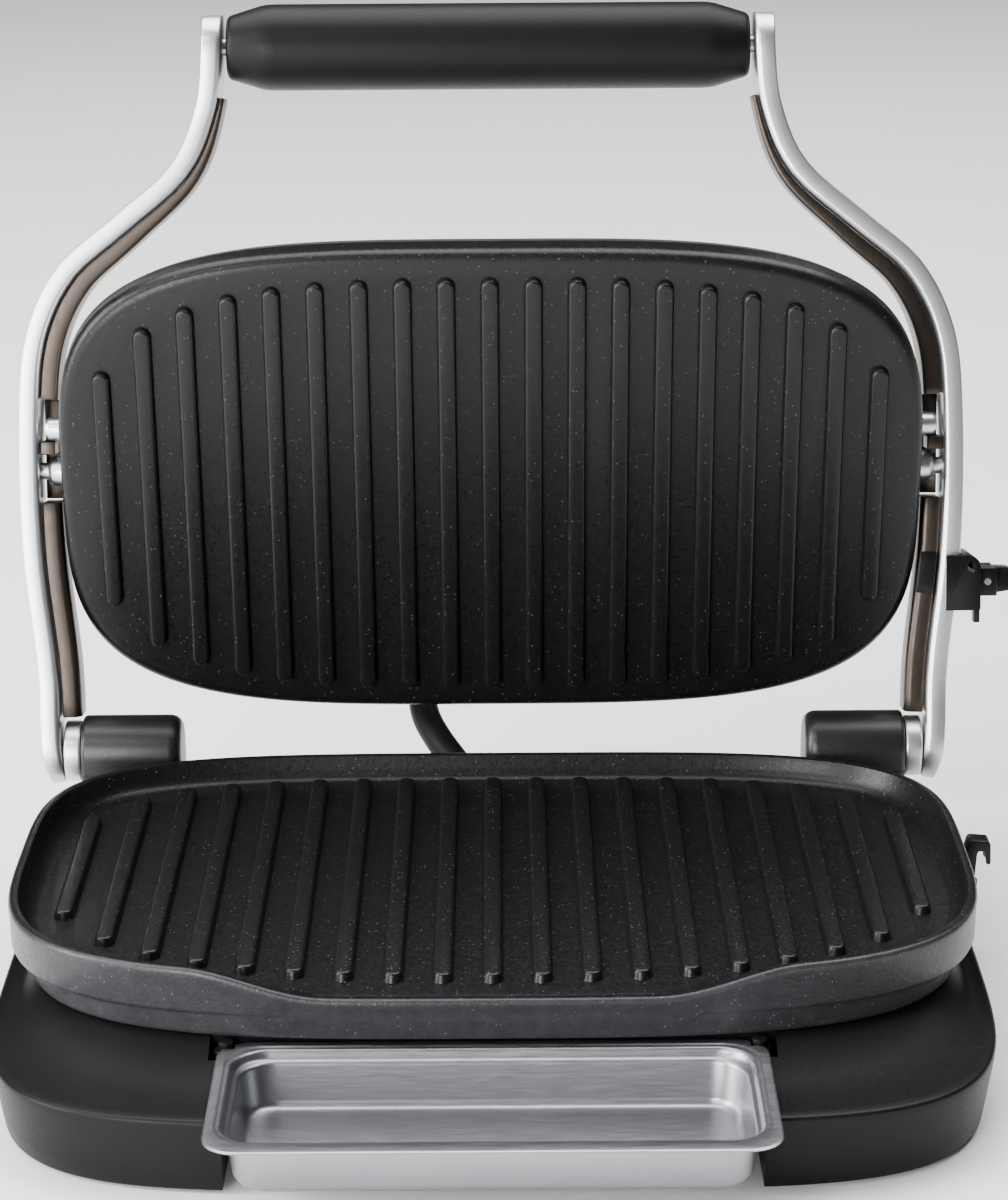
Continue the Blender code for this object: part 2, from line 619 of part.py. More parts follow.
def make_upper_internals(by_name, parent):
    """Heating rod, reflector and thermostat between the plate and the cover."""
    y = LID_FACE_Y + 11 * MM
    make_element("upper_heating_element", 128 * MM, 62 * MM, (0, y, 0),
                 (Vector((1, 0, 0)), Vector((0, 0, 1))), by_name["element"], parent)
    pan = [lid_ring(14 * MM, LID_FACE_Y + 16 * MM, 32), lid_ring(14 * MM, LID_FACE_Y + 17 * MM, 32)]
    solid("upper_reflector", loft(pan), by_name["steel"], parent)
    body = ((LID_FACE_Y + 18 * MM, 12 * MM), (LID_FACE_Y + 26 * MM, 12 * MM))
    solid("thermostat", loft(turned(body, "Y", (50 * MM, 0, 0))), by_name["steel"], parent)


def make_pivots(by_name, parent):
    """Pivot pins that run in the arms, and stop pins above them that limit the tilt."""
    for side, word in SIDES:
        pin = ((177.4, 6.3), (183.4, 6.3), (184.8, 5.2), (184.9, 3.6), (192.6, 3.6))
        solid(f"pivot_pin_{word}", loft(turned([(side * x * MM, r * MM) for x, r in pin])),
              by_name["arm"], parent)
        stop = ((177.4, 4.9), (183.8, 4.9), (185.2, 3.8))
        solid(f"stop_pin_{word}", loft(turned([(side * x * MM, r * MM) for x, r in stop], "X",
                                              (0, 0, STOP_PIN_RISE))), by_name["arm"], parent)


# ---------------------------------------------------------------- height clip, in the arm's frame

def make_clip(by_name, parent):
    """Clip that slides on the right arm and holds the upper plate off the lower one."""
    low, high = CLIP_REACH
    x0, x1 = CLIP_X
    outline = ((x0, low), (x1 - 1 * MM, low), (x1, high - 6 * MM), (x1 - 1.6 * MM, high - 2 * MM),
               (x1 - 5 * MM, high), (x0, high))
    clip = solid("height_clip_block", loft([[Vector((x, y, z)) for x, z in outline]
                                            for y in (-CLIP_HALF_DEPTH, CLIP_HALF_DEPTH)]),
                 by_name["shell"], parent)
    reach = (low - 5 * MM, high + 5 * MM)
    room = ARM_HALF_DEPTH + 0.5 * MM
    boolean(clip, solid("cut_clip_channel", box((x0 - 5 * MM, CLIP_WALL_X), (-room, room), reach)))
    boolean(clip, solid("cut_clip_front", box((x0 - 5 * MM, CLIP_FRONT_X), (-20 * MM, 0), reach)))
    slot = LEVER_HALF_DEPTH + GAP
    boolean(clip, solid("cut_clip_lever_slot", box((LEVER_X - LEVER_RADIUS - 0.6 * MM, x1 + 5 * MM),
                                                   (-slot, slot), reach)))
    middle = (low + high) / 2
    for face, word in ((-1, "front"), (1, "rear")):
        ear = box((x1 - 3 * MM, LEVER_X + 4 * MM), sorted((face * slot, face * (slot + 3.2 * MM))),
                  (middle - 6 * MM, middle + 6 * MM))
        boolean(clip, solid(f"join_clip_ear_{word}", ear), "UNION")
    hook = box((x1 - 4 * MM, x1 - 1.4 * MM), (-CLIP_HALF_DEPTH, -9 * MM), (low - 5 * MM, low + 1 * MM))
    boolean(clip, solid("join_clip_hook", hook), "UNION")
    drill(clip, "cut_clip_hole", (-20 * MM, 20 * MM), 1.9 * MM, "Y", (199.2 * MM, 0, high - 4.6 * MM), 12)
    drill(clip, "cut_clip_pin_hole", (-16 * MM, 16 * MM), 1.9 * MM, "Y", (LEVER_X, 0, middle), 16)
    pin = ((-10.3 * MM, 1.5 * MM), (10.3 * MM, 1.5 * MM))
    solid("clip_lever_pin", loft(turned(pin, "Y", (LEVER_X, 0, middle), 16)), by_name["steel"], parent)


def make_clip_pad(finish, parent):
    """Pad on the front of the right liner, beside the place where the clip is parked."""
    inner = ARM_THICKNESS + SEAM + 0.3 * MM
    strip("clip_pad", RIGHT, spaced(64 * MM, 82 * MM, 3), lambda reach: (inner, inner + 7.2 * MM),
          lambda reach: (LINER_FRONT - 1.6 * MM, LINER_FRONT - GAP), finish, parent)


def make_clip_lever(finish, parent):
    """Thumb lever on the clip; its own frame has the pin at the origin."""
    outline = []
    for step in range(9):
        angle = math.radians(90 + 180 * step / 8)
        outline.append((LEVER_RADIUS * math.cos(angle), LEVER_RADIUS * math.sin(angle)))
    outline += [(9 * MM, -LEVER_RADIUS), (12 * MM, -4 * MM), (12 * MM, 3 * MM), (8 * MM, LEVER_RADIUS)]
    rings = [[Vector((x, y, z)) for x, z in outline] for y in (-LEVER_HALF_DEPTH, LEVER_HALF_DEPTH)]
    lever = solid("clip_lever", loft(rings), finish, parent)
    return drill(lever, "cut_lever_hole", (-9 * MM, 9 * MM), 1.9 * MM, "Y", (0, 0, 0), 16)


# ---------------------------------------------------------------- tray, catch and conduit

def make_tray(finish):
    """Pressed steel drip tray: a flat flange round a stepped basin."""
    half, (front, back) = TRAY_HALF_WIDTH, TRAY_Y
    sheet = TRAY_SHEET

    def ring(inset, radius, z, front_inset=None):
        lead = inset if front_inset is None else front_inset
        return rounded_rectangle((-half + inset, half - inset), (front + lead, back - inset), radius, z)

    top, bottom = TRAY_FLANGE_Z, TRAY_BOTTOM_Z
    rings = [ring(13 * MM, 10 * MM, bottom + sheet, 15 * MM),
             ring(10 * MM, 12 * MM, bottom + sheet + 3 * MM, 12 * MM),
             ring(8.5 * MM, 13 * MM, top - 5 * MM, 11.5 * MM),
             ring(6.5 * MM, 13 * MM, top - 3.5 * MM, 10 * MM), ring(5 * MM, 13 * MM, top, 9 * MM),
             ring(0, 12 * MM, top), ring(0, 12 * MM, top - sheet),
             ring(4 * MM, 14 * MM, top - sheet, 8 * MM),
             ring(5.5 * MM, 14 * MM, top - 4.2 * MM, 9 * MM),
             ring(7.5 * MM, 14 * MM, top - 5.6 * MM, 10.5 * MM),
             ring(9 * MM, 13 * MM, bottom + sheet + 2.6 * MM, 11 * MM),
             ring(12.4 * MM, 11 * MM, bottom, 14.4 * MM)]
    tray = solid("drip_tray", loft(rings), finish)
    for side, word in SIDES:
        corner = box(sorted((side * 92.2 * MM, side * 110 * MM)), (-111.8 * MM, -90 * MM),
                     (30 * MM, 40 * MM))
        boolean(tray, solid(f"cut_tray_corner_{word}", corner))
    return tray


def make_tray_posts(finish):
    """Studs at the rear corners: a collar under the flange and a head in front of the plate."""
    for side, word in SIDES:
        profile = ((POST_FOOT_Z, 4.4 * MM), (32.6 * MM, 4.4 * MM), (32.7 * MM, 2.8 * MM),
                   (35.6 * MM, 2.8 * MM))
        solid(f"tray_post_{word}", loft(turned(profile, "Z", (side * POST_X, POST_Y, 0), 12)), finish)


def make_catch(by_name, parent):
    """Hook at the right of the base that holds the press shut for storage, on its pin."""
    outline = ((-3, -3), (3, -3), (3.4, 6), (4, 15), (7.4, 15), (8, 9), (9.6, 9), (9.2, 18.6), (0.6, 19.4),
               (-3, 6))
    rings = [[Vector((x * MM, y, z * MM)) for x, z in outline] for y in (-4 * MM, 4 * MM)]
    catch = solid("storage_catch", loft(rings), by_name["shell"], parent)
    drill(catch, "cut_catch_hole", (-9 * MM, 9 * MM), 1.8 * MM, "Y", (0, 0, 0), 16)
    return catch


def make_catch_bracket(by_name, pivot):
    """Two ears on the base that hold the catch's pin."""
    x, y, z = pivot
    for row, face in (("front", -1), ("rear", 1)):
        ear = box((x - 1.8 * MM, x + 4 * MM), sorted((y + face * 4.5 * MM, y + face * 7 * MM)),
                  (z - 4 * MM, z + 4 * MM))
        made = solid(f"catch_ear_{row}", ear, by_name["shell"])
        drill(made, f"cut_catch_ear_{row}", (y - 10 * MM, y + 10 * MM), 1.8 * MM, "Y", (x, 0, z), 16)
    pin = ((y - 7.4 * MM, 1.5 * MM), (y + 7.4 * MM, 1.5 * MM))
    solid("catch_pin", loft(turned(pin, "Y", (x, 0, z), 16)), by_name["steel"])


CONDUIT_ROUTE = ((-9, 131.5, 35.4), (-9.2, 131.6, 39), (-15, 139, 46.5), (-23, 151, 53.5),
                 (-29, 162.5, 60.5), (-31, 172, 68.5), (-31, 179.2, 79), (-31, 185.6, 96.1),
                 (-31, 185.9, 116.3), (-31, 182.8, 136), (-31, 180, 155.8), (-31, 177.97, 170.39))


def make_conduit(by_name):
    """Flexible sleeve for the wires of the upper plate, held in a gland at each end."""
    points = [Vector(p) * MM for p in CONDUIT_ROUTE]
    route = []
    padded = [points[0] * 2 - points[1], *points, points[-1] * 2 - points[-2]]
    for i in range(1, len(padded) - 2):
        a, b, c, d = padded[i - 1:i + 3]
        for step in range(3):
            t = step / 3
            route.append(0.5 * ((2 * b) + (c - a) * t + (2 * a - 5 * b + 4 * c - d) * t ** 2
                                + (3 * b - a - 3 * c + d) * t ** 3))
    route.append(points[-1])
    curve = bpy.data.curves.new("link_conduit", "CURVE")
    curve.dimensions = "3D"
    curve.bevel_depth = 6.2 * MM
    curve.bevel_resolution = 3
    curve.use_fill_caps = True
    spline = curve.splines.new("POLY")
    spline.points.add(len(route) - 1)
    for target, place in zip(spline.points, route):
        target.co = (*place, 1)
    curve.materials.append(by_name["rubber"])
    made = bpy.data.objects.new("link_conduit", curve)
    bpy.context.scene.collection.objects.link(made)
    x, y, z = points[0]
    gland = ((30.6 * MM, 9 * MM), (32.6 * MM, 9 * MM), (33.8 * MM, 7.6 * MM))
    solid("conduit_gland_base", loft(turned(gland, "Z", (x, y, 0))), by_name["shell"])


def make_lid_gland(finish, parent):
    """Hood on the back of the cover, near the pivots, into which the conduit runs from below."""
    back = LID_FACE_Y + LID_WALL + LID_COVER_DEPTH + 2 * GAP
    x = CONDUIT_ROUTE[-1][0] * MM
    rings = [rounded_rectangle((x - half, x + half), (back, back + depth), 7 * MM, z)
             for half, depth, z in ((13 * MM, 21 * MM, HOOD_Z), (13 * MM, 21 * MM, 8 * MM),
                                    (11.5 * MM, 17 * MM, 14 * MM), (10 * MM, 14.5 * MM, 16 * MM))]
    return solid("conduit_gland_lid", loft(rings), finish, parent)


def main():
    for old in list(bpy.data.objects):
        bpy.data.objects.remove(old, do_unlink=True)
    by_name = finishes()
    arms = empty("arm_hinge_axis", (0, HINGE_Y, HINGE_Z), -ARM_LEAN)
    pivot_y = HINGE_Y + PIVOT_REACH * math.sin(ARM_LEAN)
    pivot_z = HINGE_Z + PIVOT_REACH * math.cos(ARM_LEAN)
    platen = empty("platen_pivot_axis", (0, pivot_y, pivot_z), PLATEN_LEAN)
    clip_middle = sum(CLIP_REACH) / 2
    lever = empty("clip_lever_axis", (LEVER_X, HINGE_Y + clip_middle * math.sin(ARM_LEAN),
                                      HINGE_Z + clip_middle * math.cos(ARM_LEAN)), -ARM_LEAN)
    catch_pivot = (189 * MM, 40 * MM, 33 * MM)
    catch = empty("catch_axis", catch_pivot, 0)

    make_base_shell(by_name["shell"])
    make_bottom_cover(by_name["shell"])
    make_feet(by_name)
    make_cord_gland(by_name["shell"])
    make_lower_plate(by_name["plate"])
    make_lower_internals(by_name)
    make_hinge_seats(by_name)
    make_arms(by_name, arms)
    make_grip(by_name, arms)
    make_upper_plate(by_name["plate"], platen)
    make_lid_cover(by_name, platen)
    make_upper_internals(by_name, platen)
    make_pivots(by_name, platen)
    make_lid_gland(by_name["shell"], platen)
    make_clip(by_name, arms)
    make_clip_pad(by_name["shell"], arms)
    make_clip_lever(by_name["shell"], lever)
    make_tray(by_name["steel"])
    make_tray_posts(by_name["shell"])
    make_catch(by_name, catch)
    make_catch_bracket(by_name, catch_pivot)
    make_conduit(by_name)


main()
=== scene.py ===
import math
import bmesh
import bpy
from mathutils import Matrix, Vector


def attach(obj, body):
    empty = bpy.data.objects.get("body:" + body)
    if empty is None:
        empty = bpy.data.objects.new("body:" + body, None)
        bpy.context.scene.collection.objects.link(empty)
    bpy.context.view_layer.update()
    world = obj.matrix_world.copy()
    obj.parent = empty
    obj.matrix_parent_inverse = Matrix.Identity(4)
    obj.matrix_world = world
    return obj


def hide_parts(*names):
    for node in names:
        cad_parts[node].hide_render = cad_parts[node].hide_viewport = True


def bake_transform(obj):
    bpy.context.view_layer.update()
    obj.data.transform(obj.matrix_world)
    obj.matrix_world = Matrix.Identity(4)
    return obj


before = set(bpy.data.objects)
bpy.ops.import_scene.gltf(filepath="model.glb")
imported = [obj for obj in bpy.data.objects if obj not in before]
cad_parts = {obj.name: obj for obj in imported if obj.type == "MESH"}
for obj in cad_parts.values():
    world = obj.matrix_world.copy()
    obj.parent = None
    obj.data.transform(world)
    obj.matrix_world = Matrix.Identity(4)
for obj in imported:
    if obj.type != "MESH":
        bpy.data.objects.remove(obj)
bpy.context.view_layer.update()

# ---------------------------------------------------------------- view, worktop and light
# A pale laminate worktop, lit by a broad bank overhead and behind, two soft boxes on the left and a
# thin strip high up there. The camera stands in front and looks a little down at the open plates.
mm = 0.001
CAMERA_PLACE = (5 * mm, -1185 * mm, 547.2 * mm)
CAMERA_PITCH, CAMERA_ROLL = math.radians(72.16), math.radians(-0.38)
LENS, SENSOR_WIDTH = 99, 36
WORKTOP_SIZE, ROOM_LIGHT = 24, 0.1


def srgb(code):
    """A six-figure sRGB hex colour as linear red, green, blue and alpha."""
    parts = [int(code[i:i + 2], 16) / 255 for i in (0, 2, 4)]
    return (*(p / 12.92 if p <= 0.04045 else ((p + 0.055) / 1.055) ** 2.4 for p in parts), 1)


def add_node(tree, kind, sockets=None, **settings):
    """Adds a node, sets it up, and fills its sockets with values or other nodes' outputs."""
    made = tree.nodes.new(kind)
    for name, value in settings.items():
        setattr(made, name, value)
    for name, value in (sockets or {}).items():
        if isinstance(value, bpy.types.NodeSocket):
            tree.links.new(value, made.inputs[name])
        else:
            made.inputs[name].default_value = value
    return made


def new_material(name):
    """An empty Principled material: its node tree and its shader."""
    made = bpy.data.materials.new(name)
    made.use_nodes = True
    return made, made.node_tree, made.node_tree.nodes["Principled BSDF"]


def look_from(thing, place, target):
    """Puts a lamp in its place and aims it at the target."""
    thing.location = place
    thing.rotation_euler = (Vector(target) - Vector(place)).to_track_quat("-Z", "Y").to_euler()


bpy.ops.object.select_all(action="DESELECT")
bpy.ops.mesh.primitive_plane_add(size=WORKTOP_SIZE)
worktop = bpy.context.object
worktop.name = "worktop"

# A matt white laminate: plain and pale, so that the press alone draws the eye.
laminate, _, shader = new_material("white_laminate")
shader.inputs["Base Color"].default_value = srgb("f6f6f6")
shader.inputs["Roughness"].default_value = 0.7
worktop.data.materials.append(laminate)

room = bpy.data.worlds.new("white_room")
bpy.context.scene.world = room
room.use_nodes = True
room.node_tree.nodes["Background"].inputs["Color"].default_value = srgb("ffffff")
room.node_tree.nodes["Background"].inputs["Strength"].default_value = ROOM_LIGHT

for name, place, target, size, power in (
        ("bank_overhead", (0, 0.75, 2.4), (0, 0.76, 0), (3.2, 2.2), 170),
        ("soft_box_left", (-1.5, -0.5, 0.7), (0, 0, 0.15), (0.8, 1.3), 60),
        ("soft_box_front_left", (-0.72, -1.5, 0.4), (-0.1, 0.1, 0.15), (0.6, 0.9), 36),
        ("strip_high_left", (-0.7, -1.0, 1.5), (0, 0, 0.1), (0.9, 0.12), 9)):
    bpy.ops.object.light_add(type="AREA")
    lamp = bpy.context.object
    lamp.name = lamp.data.name = name
    lamp.data.shape = "RECTANGLE"
    lamp.data.size, lamp.data.size_y = size
    lamp.data.energy = power
    look_from(lamp, place, target)

bpy.ops.object.camera_add(location=CAMERA_PLACE)
camera = bpy.context.object
camera.rotation_euler = (Matrix.Rotation(CAMERA_PITCH, 4, "X")
                         @ Matrix.Rotation(CAMERA_ROLL, 4, "Z")).to_euler()
camera.data.lens = LENS
camera.data.sensor_width = SENSOR_WIDTH
bpy.context.scene.camera = camera

# ---------------------------------------------------------------- base shell
# One deep moulding in black ABS, open below, with a skirt that leans in, a sharp crease and a
# dished top that rises to the plate's seat. The tray's bay is cut out of its front.
BASE_X, BASE_Y, BASE_MIDDLE = 185 * mm, 160 * mm, -2 * mm
SEAT_X, SEAT_Y = 174 * mm, 106 * mm
BASE_SQUARE, SEAT_SQUARE = 5.0, 3.6
BAY_X, BAY_BACK, WALL = 94 * mm, -103 * mm, 3 * mm
POST_X, POST_Y = 95.6 * mm, -108.4 * mm


def rounded_outline(half_x, half_y, middle_y, z, power, back_power=None, points=200):
    """A squared-off oval in a level plane; a second power shapes its back half."""
    places = []
    for i in range(points):
        angle = 2 * math.pi * (i + 0.5) / points
        c, s = math.cos(angle), math.sin(angle)
        n = back_power if back_power and s > 0 else power
        places.append(Vector((half_x * math.copysign(abs(c) ** (2 / n), c),
                              middle_y + half_y * math.copysign(abs(s) ** (2 / n), s), z)))
    return places


def finish_mesh(piece, angle=35):
    """Closes the mesh, turns its faces outwards and shades its round stretches smooth."""
    bpy.ops.object.mode_set(mode="EDIT")
    bpy.ops.mesh.select_all(action="SELECT")
    bpy.ops.mesh.remove_doubles(threshold=0.002 * mm)
    bpy.ops.mesh.normals_make_consistent(inside=False)
    bpy.ops.object.mode_set(mode="OBJECT")
    bpy.ops.object.shade_smooth_by_angle(angle=math.radians(angle))


def ring_body(name, rings):
    """A filled circle is extruded from ring to ring, and its points are put in place on each."""
    bpy.ops.object.select_all(action="DESELECT")
    bpy.ops.mesh.primitive_circle_add(vertices=len(rings[0]), fill_type="NGON", radius=1)
    piece = bpy.context.object
    piece.name = piece.data.name = name
    bpy.ops.object.mode_set(mode="EDIT")
    mesh = bmesh.from_edit_mesh(piece.data)
    order = mesh.verts.layers.int.new("order")
    for count, vertex in enumerate(mesh.verts):
        vertex[order] = count
    for step, ring in enumerate(rings):
        if step:
            bpy.ops.mesh.extrude_region()
            mesh = bmesh.from_edit_mesh(piece.data)
            order = mesh.verts.layers.int["order"]
        for vertex in mesh.verts:
            if vertex.select:
                vertex.co = ring[vertex[order]]
    mesh.verts.layers.int.remove(order)
    bmesh.update_edit_mesh(piece.data)
    finish_mesh(piece)
    return piece


def block(name, x, y, z, bevel=0.0, segments=3):
    """A box between pairs of limits, with its edges rounded."""
    bpy.ops.object.select_all(action="DESELECT")
    low, high = Vector((x[0], y[0], z[0])), Vector((x[1], y[1], z[1]))
    bpy.ops.mesh.primitive_cube_add(size=1, location=(low + high) / 2, scale=high - low)
    piece = bpy.context.object
    piece.name = piece.data.name = name
    bpy.ops.object.transform_apply(location=True, rotation=True, scale=True)
    if bevel:
        bpy.ops.object.mode_set(mode="EDIT")
        bpy.ops.mesh.select_all(action="SELECT")
        bpy.ops.mesh.bevel(offset=bevel, segments=segments, affect="EDGES")
        bpy.ops.object.mode_set(mode="OBJECT")
        bpy.ops.object.shade_smooth_by_angle(angle=math.radians(35))
    return piece


def only(piece):
    """Makes a piece the one that is selected and worked on."""
    bpy.ops.object.select_all(action="DESELECT")
    piece.select_set(True)
    bpy.context.view_layer.objects.active = piece


def combine(piece, other, operation="DIFFERENCE"):
    """Cuts the other mesh from the piece, or joins it on, and clears the other away."""
    only(piece)
    change = piece.modifiers.new("combine", "BOOLEAN")
    change.operation, change.solver, change.object = operation, "EXACT", other
    bpy.ops.object.modifier_apply(modifier="combine")
    bpy.data.objects.remove(other, do_unlink=True)
    finish_mesh(piece)


def base_outline(inset, z):
    return rounded_outline(BASE_X - inset, BASE_Y - inset, BASE_MIDDLE, z, BASE_SQUARE)


def seat_outline(inset, z):
    return rounded_outline(SEAT_X - inset, SEAT_Y - inset, BASE_MIDDLE, z, SEAT_SQUARE)


def dished_top(share, drop):
    """The top between the crease (0) and the plate's seat (1), which it meets steeply."""
    z = 29.8 * mm + 5.8 * mm * share ** 3 - 1.2 * mm * math.sin(math.pi * share) - drop
    return [a.lerp(b, share)
            for a, b in zip(base_outline(1.2 * mm + drop, z), seat_outline(drop, z))]


skirt = [base_outline(inset * mm, z * mm) for inset, z in (
    (4.8, 1.5), (3.9, 1.7), (3.5, 2.4), (2.5, 9), (1.2, 18), (0.3, 25), (0, 28), (0.1, 28.9),
    (0.5, 29.5))]
base_shell = ring_body("base_housing", skirt + [dished_top(i / 12, 0) for i in range(13)])
inside = [base_outline(inset * mm, z * mm) for inset, z in ((7.2, -5), (3.6, 21), (4, 24))]
inside += [dished_top(i / 4, WALL) for i in range(5)]
inside += [seat_outline(8 * mm, 34 * mm), seat_outline(8 * mm, 50 * mm)]
hollow = ring_body("hollow", inside)
combine(hollow, block("bay_wall", (-BAY_X - WALL, BAY_X + WALL), (-210 * mm, BAY_BACK + WALL),
                      (-19 * mm, 70 * mm)))
combine(base_shell, block("bay", (-BAY_X, BAY_X), (-200 * mm, BAY_BACK), (-9 * mm, 60 * mm)))
combine(base_shell, block("post_pockets", (-POST_X - 6 * mm, POST_X + 6 * mm),
                          (POST_Y - 8 * mm, BAY_BACK), (25.7 * mm, 60 * mm)))
combine(base_shell, hollow)


def turned(name, profile, axis="X", centre=(0, 0, 0), points=64):
    """A round body from pairs of distance along the axis and radius."""
    rings = []
    for along, radius in profile:
        ring = []
        for i in range(points):
            a = radius * math.cos(2 * math.pi * i / points)
            b = radius * math.sin(2 * math.pi * i / points)
            place = {"X": (along, a, b), "Y": (a, along, b), "Z": (a, b, along)}[axis]
            ring.append(Vector(centre) + Vector(place))
        rings.append(ring)
    return ring_body(name, rings)


def bore(piece, span, radius, axis, centre, points):
    """Cuts a round hole along an axis, from one end of the span to the other."""
    combine(piece, turned("bore", [(end, radius) for end in span], axis, centre, points))


bore(base_shell, (150 * mm, 162 * mm), 6.3 * mm, "Y", (60 * mm, 0, 15 * mm), 32)


def noise(tree, place, size, detail, rough=0.5):
    """Noise in spots of about the given size."""
    return add_node(tree, "ShaderNodeTexNoise", {
        "Vector": place, "Scale": 1 / size, "Detail": detail, "Roughness": rough}).outputs["Fac"]


def between(tree, share, first, second):
    """A colour between two, by a share from 0 to 1."""
    return add_node(tree, "ShaderNodeMix", {0: share, 6: first, 7: second},
                    data_type="RGBA").outputs[2]


def finish_surface(tree, shader, tint, grain, rough, strength, depth):
    """Gives the shader its colour, and lets the grain vary roughness and stand out as relief."""
    sheen = add_node(tree, "ShaderNodeMapRange", {"Value": grain, "From Min": 0.3, "From Max": 0.7,
                     "To Min": rough[0], "To Max": rough[1]})
    relief = add_node(tree, "ShaderNodeBump", {"Height": grain, "Strength": strength,
                      "Distance": depth})
    tree.links.new(tint, shader.inputs["Base Color"])
    tree.links.new(sheen.outputs["Result"], shader.inputs["Roughness"])
    tree.links.new(relief.outputs["Normal"], shader.inputs["Normal"])


def moulded_abs(name, dark, light, rough, grain=0.9 * mm, depth=0.05 * mm, shine=0.15):
    """ABS or similar from a spark-eroded mould: matt, with a fine even grain. The grain of the
    real mould is about 0.1 mm and is drawn coarser, so that it shows."""
    made, tree, shader = new_material(name)
    place = add_node(tree, "ShaderNodeTexCoord").outputs["Object"]
    tint = between(tree, noise(tree, place, 45 * mm, 2.0), srgb(dark), srgb(light))
    finish_surface(tree, shader, tint, noise(tree, place, grain, 3.0), (rough - 0.06, rough + 0.08),
                   0.35, depth)
    shader.inputs["IOR"].default_value = 1.5
    shader.inputs["Specular IOR Level"].default_value = shine
    return made


# Black ABS: the calm dark mass of the housing, half matt, with only broad dull lights.
housing_abs = moulded_abs("black_moulded_abs", "09090a", "0f0f10", 0.42)


def coat(piece, material):
    """Covers the whole of a piece with one material."""
    piece.data.materials.clear()
    piece.data.materials.append(material)


def carry(piece, body, material, slot, *nodes):
    """Gives a finished piece its material, its body and the CAD nodes that it stands for."""
    coat(piece, material)
    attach(piece, body)
    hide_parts(*nodes)


carry(base_shell, "base", housing_abs, "black_moulded_plastic", "base_shell")

# ---------------------------------------------------------------- underside, feet and screws
# A flat ABS cover closes the base. Four rubber feet and four steel screws sit in it. All are
# plain turned or pressed parts, so the solids of the frame are used as they are.

# Nitrile rubber: dead matt, so that the feet sink into the shadow below the base.
nitrile_rubber = moulded_abs("black_nitrile_rubber", "161616", "1e1e1e", 0.75, 0.6 * mm, 0.04 * mm)


def metal(name, dark, light, rough, grain, depth=0.004 * mm, streak=(1, 1, 1)):
    """A metal surface. streak stretches the grain along the way it was brushed or rolled."""
    made, tree, shader = new_material(name)
    place = add_node(tree, "ShaderNodeTexCoord").outputs["Object"]
    along = add_node(tree, "ShaderNodeMapping", {"Vector": place, "Scale": streak})
    tint = between(tree, noise(tree, place, 30 * mm, 2.0), srgb(dark), srgb(light))
    finish_surface(tree, shader, tint, noise(tree, along.outputs["Vector"], grain, 4.0, 0.6),
                   (rough - 0.05, rough + 0.07), 0.4, depth)
    shader.inputs["Metallic"].default_value = 1.0
    return made


# Zinc-plated steel: a cool, light grey glint on screws, shafts and pins.
zinc_steel = metal("zinc_plated_steel", "9fa1a4", "b9babc", 0.3, 0.5 * mm)


def dress(material, *nodes):
    """Puts a material on solids of the frame that are used as they are."""
    for node in nodes:
        coat(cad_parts[node], material)


dress(housing_abs, "base_bottom_cover", "mains_cord_gland", "terminal_block")
for place in ("front_left", "front_right", "rear_left", "rear_right"):
    dress(nitrile_rubber, f"foot_{place}")
    dress(zinc_steel, f"cover_screw_{place}")

# ---------------------------------------------------------------- lower grill plate
# Cast aluminium with a thick rim, a pouring lip in front and nineteen ribs. It is sprayed with a
# near-black non-stick coat, through which the pitted skin of the casting still shows.
PLATE_X, PLATE_Y, PLATE_MIDDLE = 184 * mm, 113 * mm, 2 * mm
TIER_X, TIER_Y = 176 * mm, 108 * mm
FRONT_SQUARE, BACK_SQUARE = 3.4, 4.1
FLOOR_Z, RIM_Z = 52 * mm, 62 * mm
RIBS, RIB_ROUND = 19, 3.7 * mm
RIB_PITCH = 18  # millimetres


def ease(value, low, high):
    """A soft step from 0 to 1 between two limits."""
    share = min(max((value - low) / (high - low), 0), 1)
    return share * share * (3 - 2 * share)


def side_outline(inset, z):
    return rounded_outline(PLATE_X - inset * mm, PLATE_Y - inset * mm, PLATE_MIDDLE, z * mm,
                           FRONT_SQUARE, BACK_SQUARE)


def rim_outline(inset, drop, sunk=0.0):
    """The rim, which falls to the floor along the lip. sunk takes it down towards the floor."""
    places = side_outline(inset, 0)
    for place in places:
        rise = ease(abs(place.x), 60 * mm, 112 * mm) if place.y < 0 else 1
        top = FLOOR_Z + rise * (RIM_Z - FLOOR_Z)
        place.z = top - drop * mm - sunk * (top - FLOOR_Z)
    return places


def tier_outline(inset, z):
    return rounded_outline(TIER_X - inset * mm, TIER_Y - inset * mm, BASE_MIDDLE, z * mm,
                           FRONT_SQUARE, BACK_SQUARE)


rings = [tier_outline(inset, z) for inset, z in (
    (6, 45.5), (5, 36), (1.6, 36), (0.6, 36.25), (0.15, 36.9), (0, 37.8), (-0.2, 41), (-0.5, 43.2))]
rings += [[a.lerp(b, share) for a, b in zip(tier_outline(-0.5, z), side_outline(0.5, z))]
          for share, z in ((0.06, 44), (0.22, 44.7), (0.5, 45.1), (0.8, 45.3), (0.93, 45.6),
                           (1, 46.4))]
rings += [rim_outline(*step) for step in (
    (0.3, 4), (0, 2.3), (0.1, 1.4), (0.4, 0.6), (0.95, 0.15), (1.7, 0), (2.8, 0.05), (3.6, 0.25),
    (4.4, 0.1, 0.2), (5.3, 0.05, 0.5), (6.5, 0, 0.75), (8.2, 0, 0.93), (10.5, 0, 1))]
lower_plate = ring_body("lower_grill_plate_cast", rings)


